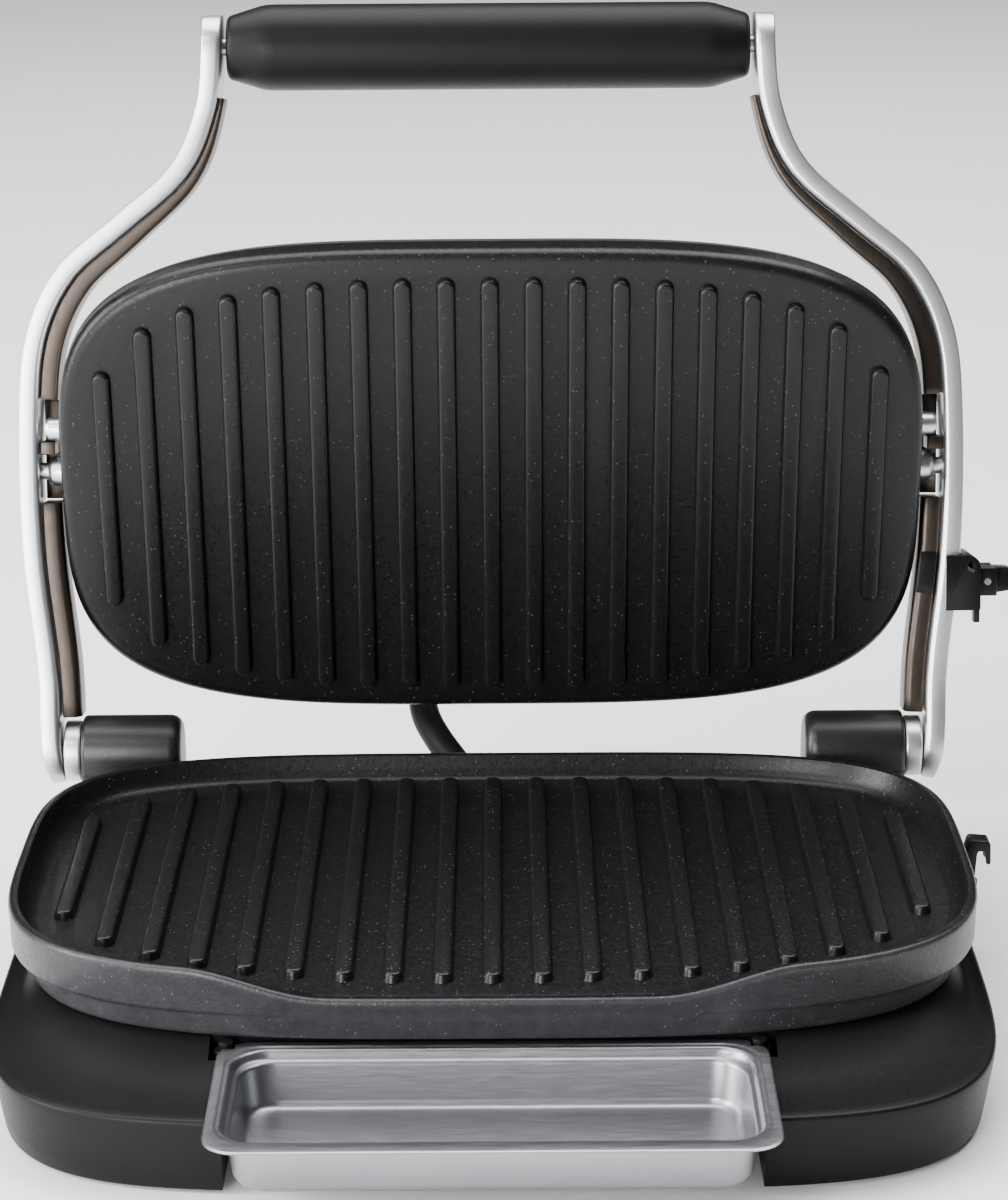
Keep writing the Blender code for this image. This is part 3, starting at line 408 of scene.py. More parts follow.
def rib_bar(x, front, back, floor):
    """One rib with sloping sides and soft top edges, round at both ends."""
    rings = []
    for rise, half in ((-2, 4.2), (0, 3.9), (0.5, 3.72), (2.6, 3.35), (3.15, 3.1), (3.42, 2.65),
                       (3.5, 2.1)):
        ring = []
        for end, start in ((back - RIB_ROUND, 0), (front + RIB_ROUND, 180)):
            for step in range(13):
                angle = math.radians(start + 15 * step)
                ring.append(Vector((x + half * mm * math.cos(angle),
                                    end + half * mm * math.sin(angle), floor + rise * mm)))
        rings.append(ring)
    return ring_body("rib", rings)


def rib_reach(x, half, reach, power):
    """How far the rib at x runs from the middle, inside a squared-off oval."""
    share = min((abs(x) + RIB_ROUND) / half, 0.999)
    return reach * (1 - share ** power) ** (1 / power)


def gather(name, pieces):
    """Joins loose pieces into one object."""
    bpy.ops.object.select_all(action="DESELECT")
    for piece in pieces:
        piece.select_set(True)
    bpy.context.view_layer.objects.active = pieces[0]
    bpy.ops.object.join()
    pieces[0].name = pieces[0].data.name = name
    return pieces[0]


bars = []
for i in range(RIBS):
    x = (i - RIBS // 2) * RIB_PITCH * mm
    bars.append(rib_bar(x, PLATE_MIDDLE - rib_reach(x, 172 * mm, 99 * mm, 2.6),
                        PLATE_MIDDLE + rib_reach(x, 172 * mm, 101 * mm, 3.9), FLOOR_Z))
combine(lower_plate, gather("lower_ribs", bars), "UNION")


def ptfe_coat(name, dark, light, fleck, shine, depth):
    """Sprayed non-stick coat: dark, with a dull sheen, a fine pitted skin and sparse pale specks.
    The pits are about 0.5 mm across and are drawn near 1.5 mm, so that they show."""
    made, tree, shader = new_material(name)
    place = add_node(tree, "ShaderNodeTexCoord").outputs["Object"]
    specks = add_node(tree, "ShaderNodeTexVoronoi", {"Vector": place, "Scale": 1 / (1.4 * mm)})
    near = add_node(tree, "ShaderNodeMapRange", {"Value": specks.outputs["Distance"],
                    "From Min": 0.12, "From Max": 0.3, "To Min": 1.0, "To Max": 0.0})
    pick = add_node(tree, "ShaderNodeSeparateColor", {"Color": specks.outputs["Color"]})
    chosen = add_node(tree, "ShaderNodeMath", {0: pick.outputs["Red"], 1: 0.9},
                      operation="GREATER_THAN")
    speck = add_node(tree, "ShaderNodeMath", {0: near.outputs["Result"],
                     1: chosen.outputs["Value"]}, operation="MULTIPLY")
    ground = between(tree, noise(tree, place, 5 * mm, 3.0), srgb(dark), srgb(light))
    finish_surface(tree, shader, between(tree, speck.outputs["Value"], ground, srgb(fleck)),
                   noise(tree, place, 1.5 * mm, 4.0, 0.62), (0.25, 0.42), 0.5, depth)
    shader.inputs["IOR"].default_value = 1.38
    shader.inputs["Specular IOR Level"].default_value = shine
    return made


nonstick = ptfe_coat("ptfe_coated_cast_aluminium", "09090b", "111113", "4c4c50", 0.4, 0.14 * mm)
# A lighter grey version of the coat, as painted light on the plate's outward walls.
outer_wall_painted_light = ptfe_coat("thinly_coated_casting_skin", "202022", "343437", "5c5c60", 0.5, 0.3 * mm)
carry(lower_plate, "base", nonstick, "nonstick_cast_aluminium", "lower_grill_plate")

# The outward walls are given a lighter grey: painted light, standing for the light thrown onto them
# by the bright tray below and from the front.
lower_plate.data.materials.append(outer_wall_painted_light)
for face in lower_plate.data.polygons:
    x, y, z = face.center
    square = FRONT_SQUARE if y < 0 else BACK_SQUARE
    spread = (abs(x) / PLATE_X) ** FRONT_SQUARE + (abs(y - PLATE_MIDDLE) / PLATE_Y) ** square
    looks_out = face.normal.x * x + face.normal.y * y > 0.3 * math.hypot(x, y)
    if looks_out and (spread > 0.95 or z < 51 * mm):
        face.material_index = 1

# ---------------------------------------------------------------- heating rods, reflectors, wiring
# Under each plate lies a bent heating rod in a nickel alloy sheath, over a pressed reflector of
# aluminised steel. They are closed in, and the solids of the frame are used as they are.

# The sheath is browned by heat and dull; the aluminised sheet is pale, even and half bright.
rod_sheath = metal("nickel_alloy_rod_sheath", "4a453f", "5b554c", 0.5, 0.8 * mm)
aluminised = metal("aluminised_steel_sheet", "a9abad", "bbbdbf", 0.36, 1.2 * mm)
dress(rod_sheath, "lower_heating_element", "upper_heating_element")
dress(aluminised, "lower_reflector", "upper_reflector", "thermostat")

# ---------------------------------------------------------------- hinge barrels
# Two moulded barrels stand on pedestals at the back of the base and carry the arms. Each is one
# piece in glass-filled nylon, with a parting line at mid-height and a bronze bush pressed in.
HINGE_Y, HINGE_Z = 125 * mm, 60 * mm


def barrel_outline(x, inset):
    """The barrel seen from the side, round above and straight below, with its parting groove."""
    radius = 15 * mm - inset
    half = [(radius, 31.8), (radius, 53.5), (radius - 0.35 * mm, 53.7), (radius - 0.35 * mm, 54.2),
            (radius, 54.4)]
    places = [Vector((x, HINGE_Y - out, z * mm)) for out, z in half]
    for step in range(37):
        angle = math.radians(180 - 5 * step)
        places.append(Vector((x, HINGE_Y + radius * math.cos(angle),
                              HINGE_Z + radius * math.sin(angle))))
    return places + [Vector((x, HINGE_Y + out, z * mm)) for out, z in half[::-1]]


stations = [(131 * mm + 5.2 * mm * (1 - math.cos(math.radians(15 * i))),
             4.6 * mm * (1 - math.sin(math.radians(15 * i)))) for i in range(7)]
stations += [(171 * mm + 1.8 * mm * math.sin(math.radians(22.5 * i)),
              1.8 * mm * (1 - math.cos(math.radians(22.5 * i)))) for i in range(5)]
barrel = ring_body("hinge_barrel_body_right", [barrel_outline(*station) for station in stations])
bore(barrel, (137 * mm, 178 * mm), 6.4 * mm, "X", (0, HINGE_Y, HINGE_Z), 48)


def carry_pair(piece, body, material, slot, node):
    """Finishes a piece on the right, and its mirror image on the left with a mesh of its own."""
    only(piece)
    bpy.ops.object.duplicate()
    made = bpy.context.object
    made.name = made.data.name = piece.name.replace("right", "left")
    made.scale.x = -1
    bpy.ops.object.transform_apply(location=False, rotation=False, scale=True)
    finish_mesh(made)
    carry(made, body, material, slot, f"{node}_left")
    carry(piece, body, material, slot, f"{node}_right")


# Glass-filled nylon: black and a little shinier than the housing, with a coarser, livelier skin.
nylon = moulded_abs("glass_filled_nylon", "0f0f10", "18181a", 0.36, 0.8 * mm, 0.1 * mm, 0.4)
carry_pair(barrel, "base", nylon, "black_moulded_plastic", "hinge_barrel")

# Sintered bronze: a warm brown ring, seen only when the press is taken apart.
bronze = metal("sintered_bronze", "8a6238", "9c7446", 0.42, 0.6 * mm)
dress(bronze, "hinge_bush_left", "hinge_bush_right")

# ---------------------------------------------------------------- arms, collars and shafts
# Two flat arms in cast aluminium, fine blasted and lacquered, with a soft edge inside. They lean
# back from the barrels, close in at the top and hold the grip. A shaft is pressed in each eye.
# The arm's line pairs each reach from the hinge with its outer face's distance from the middle.
ARM_LEAN = math.radians(10.84)
arm_frame = Matrix.Translation((0, HINGE_Y, HINGE_Z)) @ Matrix.Rotation(-ARM_LEAN, 4, "X")
ARM_THICK, EYE_ROUND, PIVOT_REACH, GRIP_REACH = 8.3 * mm, 14 * mm, 118.6 * mm, 293 * mm
ARM_LINE = ((-36, 185.5), (-16, 185.5), (0, 189.1), (35, 190.5), (85, 195.6), (145, 195.8),
            (178, 191.5), (205, 177.5), (225, 154), (245, 131), (268, 120.5), (290, 117.6),
            (310, 117.6), (330, 117.6))


def arm_line(s):
    """The arm's line at a reach s, smooth through its points, both in millimetres."""
    i = next((i for i in range(1, len(ARM_LINE) - 2) if s <= ARM_LINE[i + 1][0]), len(ARM_LINE) - 3)
    (s0, x0), (s1, x1), (s2, x2), (s3, x3) = ARM_LINE[i - 1:i + 3]
    share = (s - s1) / (s2 - s1)
    leave, arrive = (x2 - x0) / (s2 - s0) * (s2 - s1), (x3 - x1) / (s3 - s1) * (s2 - s1)
    a, b = share * share * (3 - 2 * share), share * (share - 1)
    return x1 * (1 - a) + x2 * a + leave * b * (share - 1) + arrive * b * share


def on_arm(reach, depth, y):
    """A point below the arm's outer face by depth, along the face's normal."""
    s = reach / mm
    slope = arm_line(s + 0.5) - arm_line(s - 0.5)
    length = math.hypot(slope, 1)
    return Vector((arm_line(s) * mm - depth / length, y, reach + depth * slope / length))


def arm_half(reach):
    """Half of the arm's width: round at the eye, and round again about the grip."""
    if reach < 0:
        return math.sqrt(max(EYE_ROUND ** 2 - reach ** 2, (2 * mm) ** 2))
    if reach > GRIP_REACH:
        return math.sqrt(max((13.4 * mm) ** 2 - (reach - GRIP_REACH) ** 2, (3 * mm) ** 2))
    return (EYE_ROUND - ease(reach, 0, 30 * mm) * 3 * mm
            + ease(reach, 262 * mm, GRIP_REACH) * 2.4 * mm)


def arm_section(reach, depths, span, radii, inset=0.0):
    """One section across the arm, with a radius at each corner, front outer one first."""
    (near, far), (front, rear) = depths, span
    near, far, front, rear = near + inset, far - inset, front + inset, rear - inset
    places = []
    for d, y, inward, radius, start in ((near, front, (1, 1), radii[0], 180),
                                        (far, front, (-1, 1), radii[1], 270),
                                        (far, rear, (-1, -1), radii[2], 0),
                                        (near, rear, (1, -1), radii[3], 90)):
        radius = min(radius, 0.48 * (far - near), 0.48 * (rear - front))
        for step in range(5):
            angle = math.radians(start + 22.5 * step)
            places.append(on_arm(reach, d + inward[0] * radius + radius * math.cos(angle),
                                 y + inward[1] * radius + radius * math.sin(angle)))
    return places


def settle(piece, matrix):
    """Moves a piece from its own upright frame to its place, and keeps the place in its mesh."""
    only(piece)
    piece.matrix_world = matrix
    bpy.ops.object.transform_apply(location=True, rotation=True, scale=True)
    return piece


reaches = [-13.9, -13.5, -12.8, -11.5, -9.5, -7, -4, 0, 6, 12, 18, 24] + list(range(30, 150, 12))
reaches += list(range(150, 285, 5)) + [289, 293, 296, 299, 301.5, 303.5, 305, 306]
sections = [arm_section(s * mm, (0, ARM_THICK), (-arm_half(s * mm), arm_half(s * mm)),
                        (0.9 * mm, 2.4 * mm, 1 * mm, 0.9 * mm)) for s in reaches]
arm = ring_body("arm_casting_right", sections)
combine(arm, block("eye_face", (165 * mm, 180.8 * mm), (-20 * mm, 20 * mm), (-20 * mm, EYE_ROUND)))
bore(arm, (170 * mm, 194 * mm), 4 * mm, "X", (0, 0, PIVOT_REACH), 48)
settle(arm, arm_frame)

# A fine blast under clear lacquer: a pale, even, silky metal that shows the room only as soft
# bands. The blast's pits are about 0.1 mm and are drawn at 0.5 mm, so that they show.
satin_cast = metal("satin_lacquered_cast_aluminium", "cfd0d2", "dcdddf", 0.34, 0.5 * mm, 0.01 * mm)
carry_pair(arm, "arms", satin_cast, "satin_cast_aluminium", "arm")


def metres(*pairs):
    """Pairs of measures in millimetres, as metres."""
    return [(a * mm, b * mm) for a, b in pairs]


collar = turned("hinge_collar_right", metres(
    (173.2, 11.9), (173.35, 12.4), (173.8, 12.75), (174.3, 12.8), (179.1, 12.8), (179.6, 12.75),
    (180.05, 12.4), (180.2, 11.9)), "X", (0, HINGE_Y, HINGE_Z), 96)
bore(collar, (170 * mm, 185 * mm), 4.3 * mm, "X", (0, HINGE_Y, HINGE_Z), 48)
carry_pair(collar, "arms", satin_cast, "satin_cast_aluminium", "hinge_knuckle")
dress(zinc_steel, "hinge_shaft_left", "hinge_shaft_right")

# ---------------------------------------------------------------- arm liners and window frames
# Strips of extruded aluminium, anodised a warm taupe, are fixed inside each arm. Their colour is
# darker than that hue: painted shade for the arm's inner side. Between the lower and the upper
# strip a window is left, with a bar and a backing, where the plate is hung.
LINER = ARM_THICK + 0.7 * mm


def liner_strip(name, low, high, steps, depths_at, span, radii):
    """A strip inside the arm, with its end edges broken."""
    stops = [(low, 0.5 * mm), (low + 0.15 * mm, 0.15 * mm), (low + 0.5 * mm, 0)]
    stops += [(low + (high - low) * i / steps, 0) for i in range(1, steps)]
    stops += [(high - 0.5 * mm, 0), (high - 0.15 * mm, 0.15 * mm), (high, 0.5 * mm)]
    return settle(ring_body(name, [arm_section(reach, depths_at(reach), span, radii, inset)
                                   for reach, inset in stops]), arm_frame)


liner_lower = liner_strip("liner_lower_strip_right", 14.8 * mm, 105.5 * mm, 14,
                          lambda reach: (LINER, LINER + 8 * mm), (-6.5 * mm, 9.4 * mm),
                          (0.5 * mm, 3 * mm, 0.8 * mm, 0.5 * mm))
liner_upper = liner_strip("liner_upper_strip_right", 149.5 * mm, 274 * mm, 40,
                          lambda reach: (LINER, LINER + 7 * mm
                                         - ease(reach, 200 * mm, 284 * mm) * 5.4 * mm),
                          (-9.4 * mm, 9.4 * mm), (0.5 * mm, 1.6 * mm, 0.8 * mm, 0.5 * mm))
frame_x = on_arm(128.5 * mm, LINER, 0).x
window = block("window_frame_right", (frame_x - 6 * mm, frame_x), (-9 * mm, 8 * mm),
               (126 * mm, 131.4 * mm), 0.5 * mm)
combine(window, block("backing", (frame_x - 7.4 * mm, frame_x), (7 * mm, 9.4 * mm),
                      (106.4 * mm, 148 * mm), 0.4 * mm), "UNION")
settle(window, arm_frame)

# A warm, half-matt taupe metal. Its hue is the strips' own; its darkness is partly painted shade,
# since the strips lie in the shadow on the arm's inner side. The die lines run along the strip;
# they are about 0.1 mm apart and are drawn wider, so that they show.
taupe_liner_painted_shade = metal("taupe_aluminium_painted_shade", "3d3732", "4a433d", 0.36, 0.9 * mm, 0.01 * mm,
                       (1, 1, 0.06))
for piece, node in ((liner_lower, "arm_liner_lower"), (liner_upper, "arm_liner_upper"),
                    (window, "pivot_window_bar")):
    carry_pair(piece, "arms", taupe_liner_painted_shade, "anodised_liner", node)

# ---------------------------------------------------------------- grip
# A thick round grip in black phenolic, turned slimmer at both ends, is threaded on a steel rod
# that joins the two arms. It has no ribs or seams, only a line where each taper begins.
profile = [(107.4, 11.1), (107.2, 11.8), (106.7, 12.5), (105.9, 13.1), (104.8, 13.5), (93.4, 17),
           (91.6, 17.3), (89.6, 17.5), (87.4, 17.6)]
profile = [(-x, r) for x, r in profile] + profile[::-1]
grip = turned("round_grip", metres(*profile), "X", (0, 0, GRIP_REACH), 128)
bore(grip, (-120 * mm, 120 * mm), 4.4 * mm, "X", (0, 0, GRIP_REACH), 48)
settle(grip, arm_frame)

# Moulded phenolic: deep black with one long dull light along its top, like a worn pan handle.
phenolic = moulded_abs("black_phenolic", "09090a", "0f0f10", 0.42, 1.1 * mm, 0.05 * mm, 0.14)
carry(grip, "arms", phenolic, "grip_plastic", "grip")
dress(zinc_steel, "grip_rod")

# ---------------------------------------------------------------- upper grill plate
# The same casting and coat as the lower plate, without a rim: a flat face with a round edge and
# nineteen ribs. It stands nearly upright in its own frame, which hangs on the arms' pivots.
lid_frame = (Matrix.Translation((0, HINGE_Y + PIVOT_REACH * math.sin(ARM_LEAN),
                                 HINGE_Z + PIVOT_REACH * math.cos(ARM_LEAN)))
             @ Matrix.Rotation(math.radians(8), 4, "X"))
LID_X, LID_Z, LID_RIB_PITCH = 178, 103, 17.6  # millimetres
LID_SQUARE, FACE_Y = 3.7, -20 * mm


def lid_outline(inset, y):
    """The outline of the upper plate and its cover, standing up in a plane across the depth."""
    flat = rounded_outline((LID_X - inset) * mm, (LID_Z - inset) * mm, 0, 0, LID_SQUARE)
    return [Vector((place.x, y * mm, place.y)) for place in flat]


upper_plate = ring_body("upper_grill_plate_cast", [lid_outline(inset, y) for inset, y in (
    (7, -13), (5, -6), (1.2, -6), (0.5, -6.2), (0.1, -6.8), (0, -8), (0, -14.6), (0.1, -15.8),
    (0.45, -17), (1.1, -18.2), (2.1, -19.2), (3.4, -19.8), (5, -20))])
bars = []
for i in range(RIBS):
    x = (i - RIBS // 2) * LID_RIB_PITCH * mm
    reach = rib_reach(x, 170 * mm, 92 * mm, 3.4)
    bars.append(rib_bar(x, -reach, reach, 0))
bars = settle(gather("upper_ribs", bars), Matrix.Translation((0, FACE_Y, 0))
              @ Matrix.Rotation(math.radians(90), 4, "X"))
combine(upper_plate, bars, "UNION")
settle(upper_plate, lid_frame)
carry(upper_plate, "platen", nonstick, "nonstick_cast_aluminium", "upper_grill_plate")

# ---------------------------------------------------------------- lid cover and lamps
# A drawn dome of brushed stainless steel closes the back of the upper plate. Two small red
# polycarbonate lenses are pushed into holes near its top.
dome = ((1, -5.7), (1.6, -1.5), (2.5, 2.6), (3.6, 5.6), (5, 8.2), (7, 10.4), (11, 13), (20, 16.3),
        (32, 18.9), (46, 20.3))
LAMP_X, LAMP_Z = 14 * mm, 42 * mm
inner = [(inset + 1.5, y - 1.6) for inset, y in dome[:0:-1]] + [(2.5, -5.7)]
cover = ring_body("lid_dome", [lid_outline(inset, y) for inset, y in (*inner, *dome)])

# Brushed stainless steel: fine lines across the cover draw each light out into a wide soft band.
brushed_steel = metal("brushed_stainless_steel", "b4b5b7", "c4c5c7", 0.3, 0.4 * mm, 0.0012 * mm,
                      (0.03, 1, 1))

# Clear red polycarbonate: glossy and deep red, and dark where no lamp is lit behind it.
lens_red, tree, shader = new_material("red_polycarbonate")
place = add_node(tree, "ShaderNodeTexCoord").outputs["Object"]
tint = between(tree, noise(tree, place, 3 * mm, 2.0), srgb("8c1410"), srgb("a81c16"))
tree.links.new(tint, shader.inputs["Base Color"])
shader.inputs["Roughness"].default_value = 0.12
shader.inputs["IOR"].default_value = 1.58
shader.inputs["Transmission Weight"].default_value = 0.35

for x, node in ((-LAMP_X, "power_lamp_lens"), (LAMP_X, "ready_lamp_lens")):
    bore(cover, (10 * mm, 26 * mm), 3.6 * mm, "Y", (x, 0, LAMP_Z), 32)
    lens = turned(node.replace("lens", "cap"), metres(
        (16.3, 3.2), (20.9, 3.2), (21.4, 2.95), (21.75, 2.4), (21.9, 1.4)), "Y", (x, 0, LAMP_Z), 40)
    carry(settle(lens, lid_frame), "platen", lens_red, "clear_red_lens", node)
settle(cover, lid_frame)
carry(cover, "platen", brushed_steel, "stainless_steel", "lid_cover")

# ---------------------------------------------------------------- pivot and stop pins
# Turned pins, finished like the arms, carry the upper plate in the arms' windows, and a second
# pair above them stops its tilt. The pivot pins step down to the thinner part that runs in the arm.
for name, node, rise, profile in (
        ("pivot_boss", "pivot_pin", 0, ((177.4, 6.3), (183.0, 6.3), (183.4, 6.1), (184.7, 5.3),
                                        (184.9, 3.6), (192.3, 3.6), (192.6, 3.3))),
        ("stop_boss", "stop_pin", 19 * mm, ((177.4, 4.9), (183.4, 4.9), (183.8, 4.75), (185.0, 4.1),
                                            (185.2, 3.6)))):
    pin = turned(f"{name}_right", metres(*profile), "X", (0, 0, rise))
    settle(pin, lid_frame)
    carry_pair(pin, "platen", satin_cast, "satin_cast_aluminium", node)

# ---------------------------------------------------------------- height clip
# An acetal block slides on the right arm and props the plates apart. It has a see-through hole, a
# hook at its lower corner and two ears that hold the thumb lever on a steel pin.
CLIP_LOW, CLIP_HIGH, CLIP_LEFT, CLIP_RIGHT = 59 * mm, 82 * mm, 178.6 * mm, 204.5 * mm
CLIP_HALF, LEVER_GAP, CLIP_SOFT = 15 * mm, 0.3 * mm, 0.8 * mm
LEVER_X, LEVER_REACH, LEVER_ROUND, LEVER_HALF = 207 * mm, 70.5 * mm, 5.6 * mm, 6.8 * mm
HOLE_X, HOLE_REACH, HOLE_ROUND, HOLE_HALF = 199.5 * mm, 77 * mm, 1.6 * mm, 0.7 * mm


def plank(name, outline, half, bevel=0.5 * mm):
    """An outline in the upright plane, given depth to both sides of the middle, edges broken."""
    rings = []
    middle = sum((Vector(point) for point in outline), Vector((0, 0))) / len(outline)
    for y, inset in ((-half, bevel), (-half + 0.3 * bevel, 0.3 * bevel), (-half + bevel, 0),
                     (half - bevel, 0), (half - 0.3 * bevel, 0.3 * bevel), (half, bevel)):
        ring = []
        for point in outline:
            point = Vector(point)
            pulled = point - (point - middle).normalized() * inset
            ring.append(Vector((pulled.x, y, pulled.y)))
        rings.append(ring)
    return ring_body(name, rings)


def corner(x, z, radius, start, steps=6):
    """A quarter of a circle, as points."""
    return [(x + radius * math.cos(math.radians(start + 90 * i / steps)),
             z + radius * math.sin(math.radians(start + 90 * i / steps))) for i in range(steps + 1)]


outline = corner(CLIP_LEFT + CLIP_SOFT, CLIP_LOW + CLIP_SOFT, CLIP_SOFT, 180)
outline += corner(CLIP_RIGHT - 1.8 * mm, CLIP_LOW + CLIP_SOFT, CLIP_SOFT, 270)
outline += corner(CLIP_RIGHT - 6 * mm, CLIP_HIGH - 5 * mm, 5 * mm, 0, 10)
outline += corner(CLIP_LEFT + CLIP_SOFT, CLIP_HIGH - CLIP_SOFT, CLIP_SOFT, 90)
clip = plank("clip_block", outline, CLIP_HALF)
combine(clip, block("channel", (170 * mm, 196.5 * mm), (-11.5 * mm, 11.5 * mm), (50 * mm, 90 * mm)))
combine(clip, block("open_front", (170 * mm, 189 * mm), (-20 * mm, 0), (50 * mm, 90 * mm)))
combine(clip, block("lever_slot", (LEVER_X - LEVER_ROUND - 0.6 * mm, 215 * mm),
                    (-LEVER_HALF - LEVER_GAP, LEVER_HALF + LEVER_GAP), (50 * mm, 90 * mm)))
for face in (-1, 1):
    y = sorted((face * (LEVER_HALF + LEVER_GAP), face * (LEVER_HALF + 3.5 * mm)))
    combine(clip, block("ear", (CLIP_RIGHT - 3 * mm, LEVER_X + 4 * mm), y,
                        (LEVER_REACH - 6 * mm, LEVER_REACH + 6 * mm), 0.8 * mm), "UNION")
combine(clip, block("hook", (CLIP_RIGHT - 4 * mm, CLIP_RIGHT - 1.4 * mm), (-CLIP_HALF, -9 * mm),
                    (CLIP_LOW - 5 * mm, CLIP_LOW + mm), 0.4 * mm), "UNION")
slot_hole = [(HOLE_X + HOLE_ROUND * math.cos(math.radians(a)),
              HOLE_REACH + math.copysign(HOLE_HALF, math.sin(math.radians(a)))
              + HOLE_ROUND * math.sin(math.radians(a))) for a in range(5, 360, 10)]
combine(clip, ring_body("slot_hole", [[Vector((x, y, z)) for x, z in slot_hole]
                                      for y in (-22 * mm, 22 * mm)]))
bore(clip, (-16 * mm, 16 * mm), 1.9 * mm, "Y", (LEVER_X, 0, LEVER_REACH), 24)
settle(clip, arm_frame)

# Black acetal: the darkest plastic of the press, smooth and a little waxy.
acetal = moulded_abs("black_acetal", "060607", "0c0c0d", 0.34, 0.8 * mm, 0.04 * mm, 0.25)
carry(clip, "clip", acetal, "black_moulded_plastic", "height_clip_block")

pad = liner_strip("clip_rest_pad", 64 * mm, 82 * mm, 4,
                  lambda reach: (LINER + 0.3 * mm, LINER + 7.5 * mm), (-8.1 * mm, -6.8 * mm),
                  (0.4 * mm,) * 4)
carry(pad, "arms", acetal, "black_moulded_plastic", "clip_pad")

outline = [(LEVER_ROUND * math.cos(math.radians(a)), LEVER_ROUND * math.sin(math.radians(a)))
           for a in range(90, 271, 9)]
outline += corner(10.4 * mm, -2.4 * mm, 1.6 * mm, 270) + corner(9.4 * mm, 2.6 * mm, 2.6 * mm, 0)
outline += [(8 * mm, LEVER_ROUND - 0.2 * mm)]
lever = plank("thumb_lever", outline, LEVER_HALF, 0.6 * mm)
bore(lever, (-9 * mm, 9 * mm), 1.9 * mm, "Y", (0, 0, 0), 24)
settle(lever, arm_frame @ Matrix.Translation((LEVER_X, 0, LEVER_REACH)))
carry(lever, "clip_lever", acetal, "black_moulded_plastic", "clip_lever")
dress(zinc_steel, "clip_lever_pin")

# ---------------------------------------------------------------- drip tray and its studs
# The tray is drawn from 1 mm stainless sheet: a flat flange, a small step round the basin, steep
# walls and round corners. It hangs by its flange, and two moulded studs hold its rear corners.
TRAY_X, TRAY_FRONT, TRAY_BACK = 98.5 * mm, -192 * mm, -106 * mm


def round_rectangle(half, front, back, radius, steps, middle, z):
    """A level rectangle with round corners, its middle line at x = middle."""
    places = []
    for cx, cy, start in ((half - radius, back - radius, 0), (radius - half, back - radius, 90),
                          (radius - half, front + radius, 180),
                          (half - radius, front + radius, 270)):
        places += [Vector((middle + px, py, z)) for px, py in corner(cx, cy, radius, start, steps)]
    return places


def tray_outline(inset, radius, z, lead=None):
    """The tray at one height; lead is how far the front is set in, if not as the rest."""
    lead = inset if lead is None else lead
    return round_rectangle(TRAY_X - inset * mm, TRAY_FRONT + lead * mm, TRAY_BACK - inset * mm,
                           radius * mm, 12, 0, z * mm)


tray = ring_body("drip_tray_pressing", [tray_outline(*step) for step in (
    (17, 8, 13, 19), (13.2, 10, 13, 15.2), (11.6, 11, 13.4, 13.6), (10.5, 11.8, 14.6, 12.5),
    (10, 12, 16, 12), (8.6, 13, 28.4, 11.6), (8.3, 13, 29.3, 11.4), (7.6, 13, 29.9, 10.9),
    (6.9, 13, 30.2, 10.3), (6.4, 13, 30.8, 9.9), (6, 13, 32, 9.6), (5.7, 13, 32.7, 9.3),
    (5.2, 13, 33.2, 9), (4.6, 13.2, 33.4, 8.6), (3.9, 13.2, 33.45, 7.9), (3.5, 13, 33.8, 7.5),
    (3, 12.8, 34, 7), (0.9, 12.2, 34), (0.35, 12, 33.9), (0.05, 12, 33.65), (0.05, 12, 33.35),
    (0.35, 12, 33.1), (0.9, 12.2, 33), (3.4, 13.6, 33, 7.6), (4.6, 14, 32.6, 8.4),
    (5.2, 14, 31.6, 8.8), (5.5, 14, 30, 9), (6.1, 14, 29.2, 9.5), (7.5, 14, 28.4, 10.5),
    (9, 13, 15.6, 11), (10.2, 12.4, 13.4, 12.2), (12.4, 11, 12, 14.4))])
for side in (-1, 1):
    combine(tray, block("stud_slot", sorted((side * 92.2 * mm, side * 110 * mm)),
                        (-111.8 * mm, -90 * mm), (30 * mm, 40 * mm)))

# Bright-annealed sheet with the faint grain of the rolls across the tray: pale, even and only
# half glossy, so that it shows the room as broad soft bands.
tray_steel = metal("satin_stainless_sheet", "8f9094", "9e9fa3", 0.34, 0.6 * mm, 0.0015 * mm,
                   (0.05, 1, 1))
carry(tray, "tray", tray_steel, "stainless_steel", "drip_tray")

for side, word in ((-1, "left"), (1, "right")):
    stud = turned(f"tray_stud_{word}", metres(
        (26, 4.1), (26.3, 4.4), (32.2, 4.4), (32.55, 4.1), (32.6, 2.8), (35.2, 2.8), (35.5, 2.55),
        (35.6, 2)), "Z", (side * POST_X, POST_Y, 0), 40)
    carry(stud, "base", housing_abs, "black_moulded_plastic", f"tray_post_{word}")

# ---------------------------------------------------------------- storage catch
# A small moulded hook on the right of the base turns on a steel pin between two ears, and holds
# the press shut when it is put away.
CATCH = Vector((189 * mm, 40 * mm, 33 * mm))
catch = plank("catch_hook", metres(
    (-3, -2), (-2, -3), (2, -3), (3, -2), (3.4, 6), (4, 14), (4.6, 15), (6.6, 15), (7.4, 14.4),
    (8, 9.6), (8.6, 9), (9.2, 9), (9.6, 9.6), (9.3, 17.4), (8.4, 18.7), (1.6, 19.3), (0.5, 18.6),
    (-3, 6)), 4 * mm, 0.4 * mm)
bore(catch, (-9 * mm, 9 * mm), 1.8 * mm, "Y", (0, 0, 0), 24)
settle(catch, Matrix.Translation(CATCH))
carry(catch, "catch", acetal, "black_moulded_plastic", "storage_catch")
for face, word in ((-1, "front"), (1, "rear")):
    ear = block(f"catch_lug_{word}", (CATCH.x - 1.8 * mm, CATCH.x + 4 * mm),
                sorted((CATCH.y + face * 4.5 * mm, CATCH.y + face * 7 * mm)),
                (CATCH.z - 4 * mm, CATCH.z + 4 * mm), 0.6 * mm)
    bore(ear, (CATCH.y - 10 * mm, CATCH.y + 10 * mm), 1.8 * mm, "Y", (CATCH.x, 0, CATCH.z), 24)
    carry(ear, "base", housing_abs, "black_moulded_plastic", f"catch_ear_{word}")
dress(zinc_steel, "catch_pin")
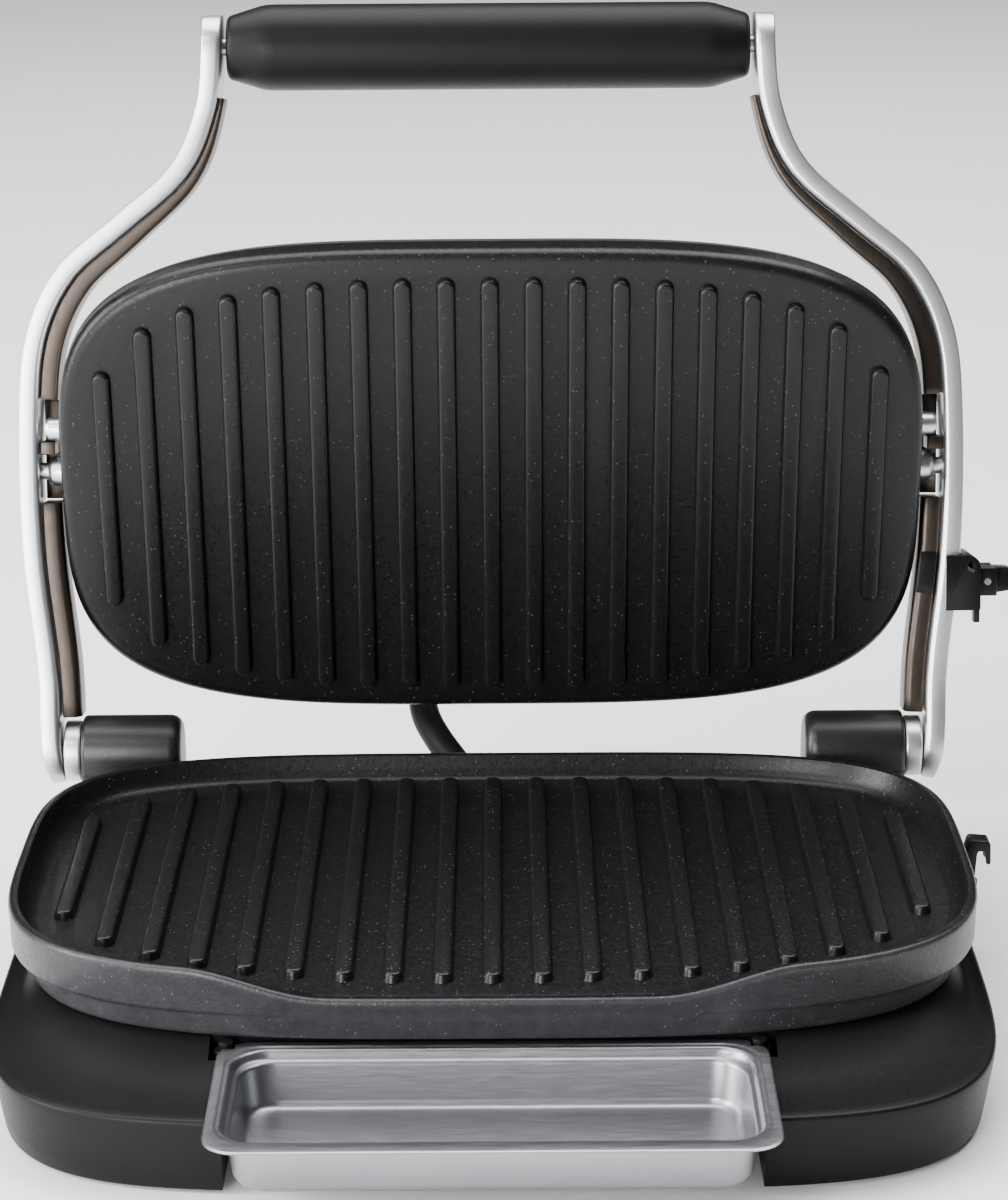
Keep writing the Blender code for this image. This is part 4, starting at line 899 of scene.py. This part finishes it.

# ---------------------------------------------------------------- wiring conduit
# A soft silicone sleeve takes the upper plate's wires from a collar on the base, round behind the
# cover and up into a moulded hood near the pivots. On the press it bends when the arms fold; here
# it is one fixed shape.
SLEEVE_X, SLEEVE_Y, SLEEVE_ROUND = -9 * mm, 131.5 * mm, 6.2 * mm
HOOD_X, MOUTH_Y, MOUTH_ROUND = -31 * mm, 29.6 * mm, 9.2 * mm
HOOD_FRONT = 20.6  # millimetres
route = [Vector(point) * mm for point in (
    (-9, 131.5, 33), (-9, 131.5, 35.4), (-9.2, 131.6, 39), (-15, 139, 46.5), (-23, 151, 53.5),
    (-29, 162.5, 60.5), (-31, 172, 68.5), (-31, 179.2, 79), (-31, 185.6, 96.1), (-31, 185.9, 116.3),
    (-31, 182.8, 136), (-31, 180, 155.8), (-31, 177.97, 170.39), (-31, 177.2, 175.6))]


def smooth_line(points, steps):
    """A smooth line through the points, with a number of steps from each to the next."""
    padded = [points[0] * 2 - points[1], *points, points[-1] * 2 - points[-2]]
    places = []
    for i in range(1, len(padded) - 2):
        a, b, c, d = padded[i - 1:i + 3]
        for step in range(steps):
            t = step / steps
            places.append(0.5 * (2 * b + (c - a) * t + (2 * a - 5 * b + 4 * c - d) * t ** 2
                                 + (3 * b - a - 3 * c + d) * t ** 3))
    return [*places, points[-1]]


line = smooth_line(route, 8)
sleeve_line = bpy.data.curves.new("sleeve", "CURVE")
sleeve_line.dimensions = "3D"
sleeve_line.bevel_depth = SLEEVE_ROUND
sleeve_line.bevel_resolution = 8
sleeve_line.use_fill_caps = True
spline = sleeve_line.splines.new("POLY")
spline.points.add(len(line) - 1)
for target, place in zip(spline.points, line):
    target.co = (*place, 1)
sleeve = bpy.data.objects.new("wiring_sleeve", sleeve_line)
bpy.context.scene.collection.objects.link(sleeve)
only(sleeve)
bpy.ops.object.convert(target="MESH")
sleeve = bpy.context.object
finish_mesh(sleeve, 50)

# Black silicone: soft and matt, with a faint skin, so that the sleeve reads as a flexible thing.
silicone = moulded_abs("black_silicone", "0d0d0d", "131313", 0.5, 1.5 * mm, 0.03 * mm)
coat(sleeve, silicone)
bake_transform(sleeve)
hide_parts("link_conduit")

gland = turned("sleeve_collar", metres(
    (30.6, 9), (32.4, 9), (33.1, 8.8), (33.6, 8.2), (33.8, 7.4)), "Z", (SLEEVE_X, SLEEVE_Y, 0), 64)
carry(gland, "base", housing_abs, "black_moulded_plastic", "conduit_gland_base")


hood = ring_body("sleeve_hood", [
    round_rectangle(half * mm, HOOD_FRONT * mm, (HOOD_FRONT + depth) * mm, 7 * mm, 10, HOOD_X,
                    z * mm)
    for half, depth, z in (
        (12.4, 20.4, -10), (12.8, 20.8, -9.7), (13, 21, -9), (13, 21, 5), (12.7, 20.3, 9),
        (12, 18.8, 12.4), (11.2, 16.6, 14.8), (10.3, 15, 15.8), (9.6, 14.4, 16))])
bore(hood, (-12 * mm, 3 * mm), MOUTH_ROUND, "Z", (HOOD_X, MOUTH_Y, 0), 48)
settle(hood, lid_frame)
carry(hood, "platen", housing_abs, "black_moulded_plastic", "conduit_gland_lid")
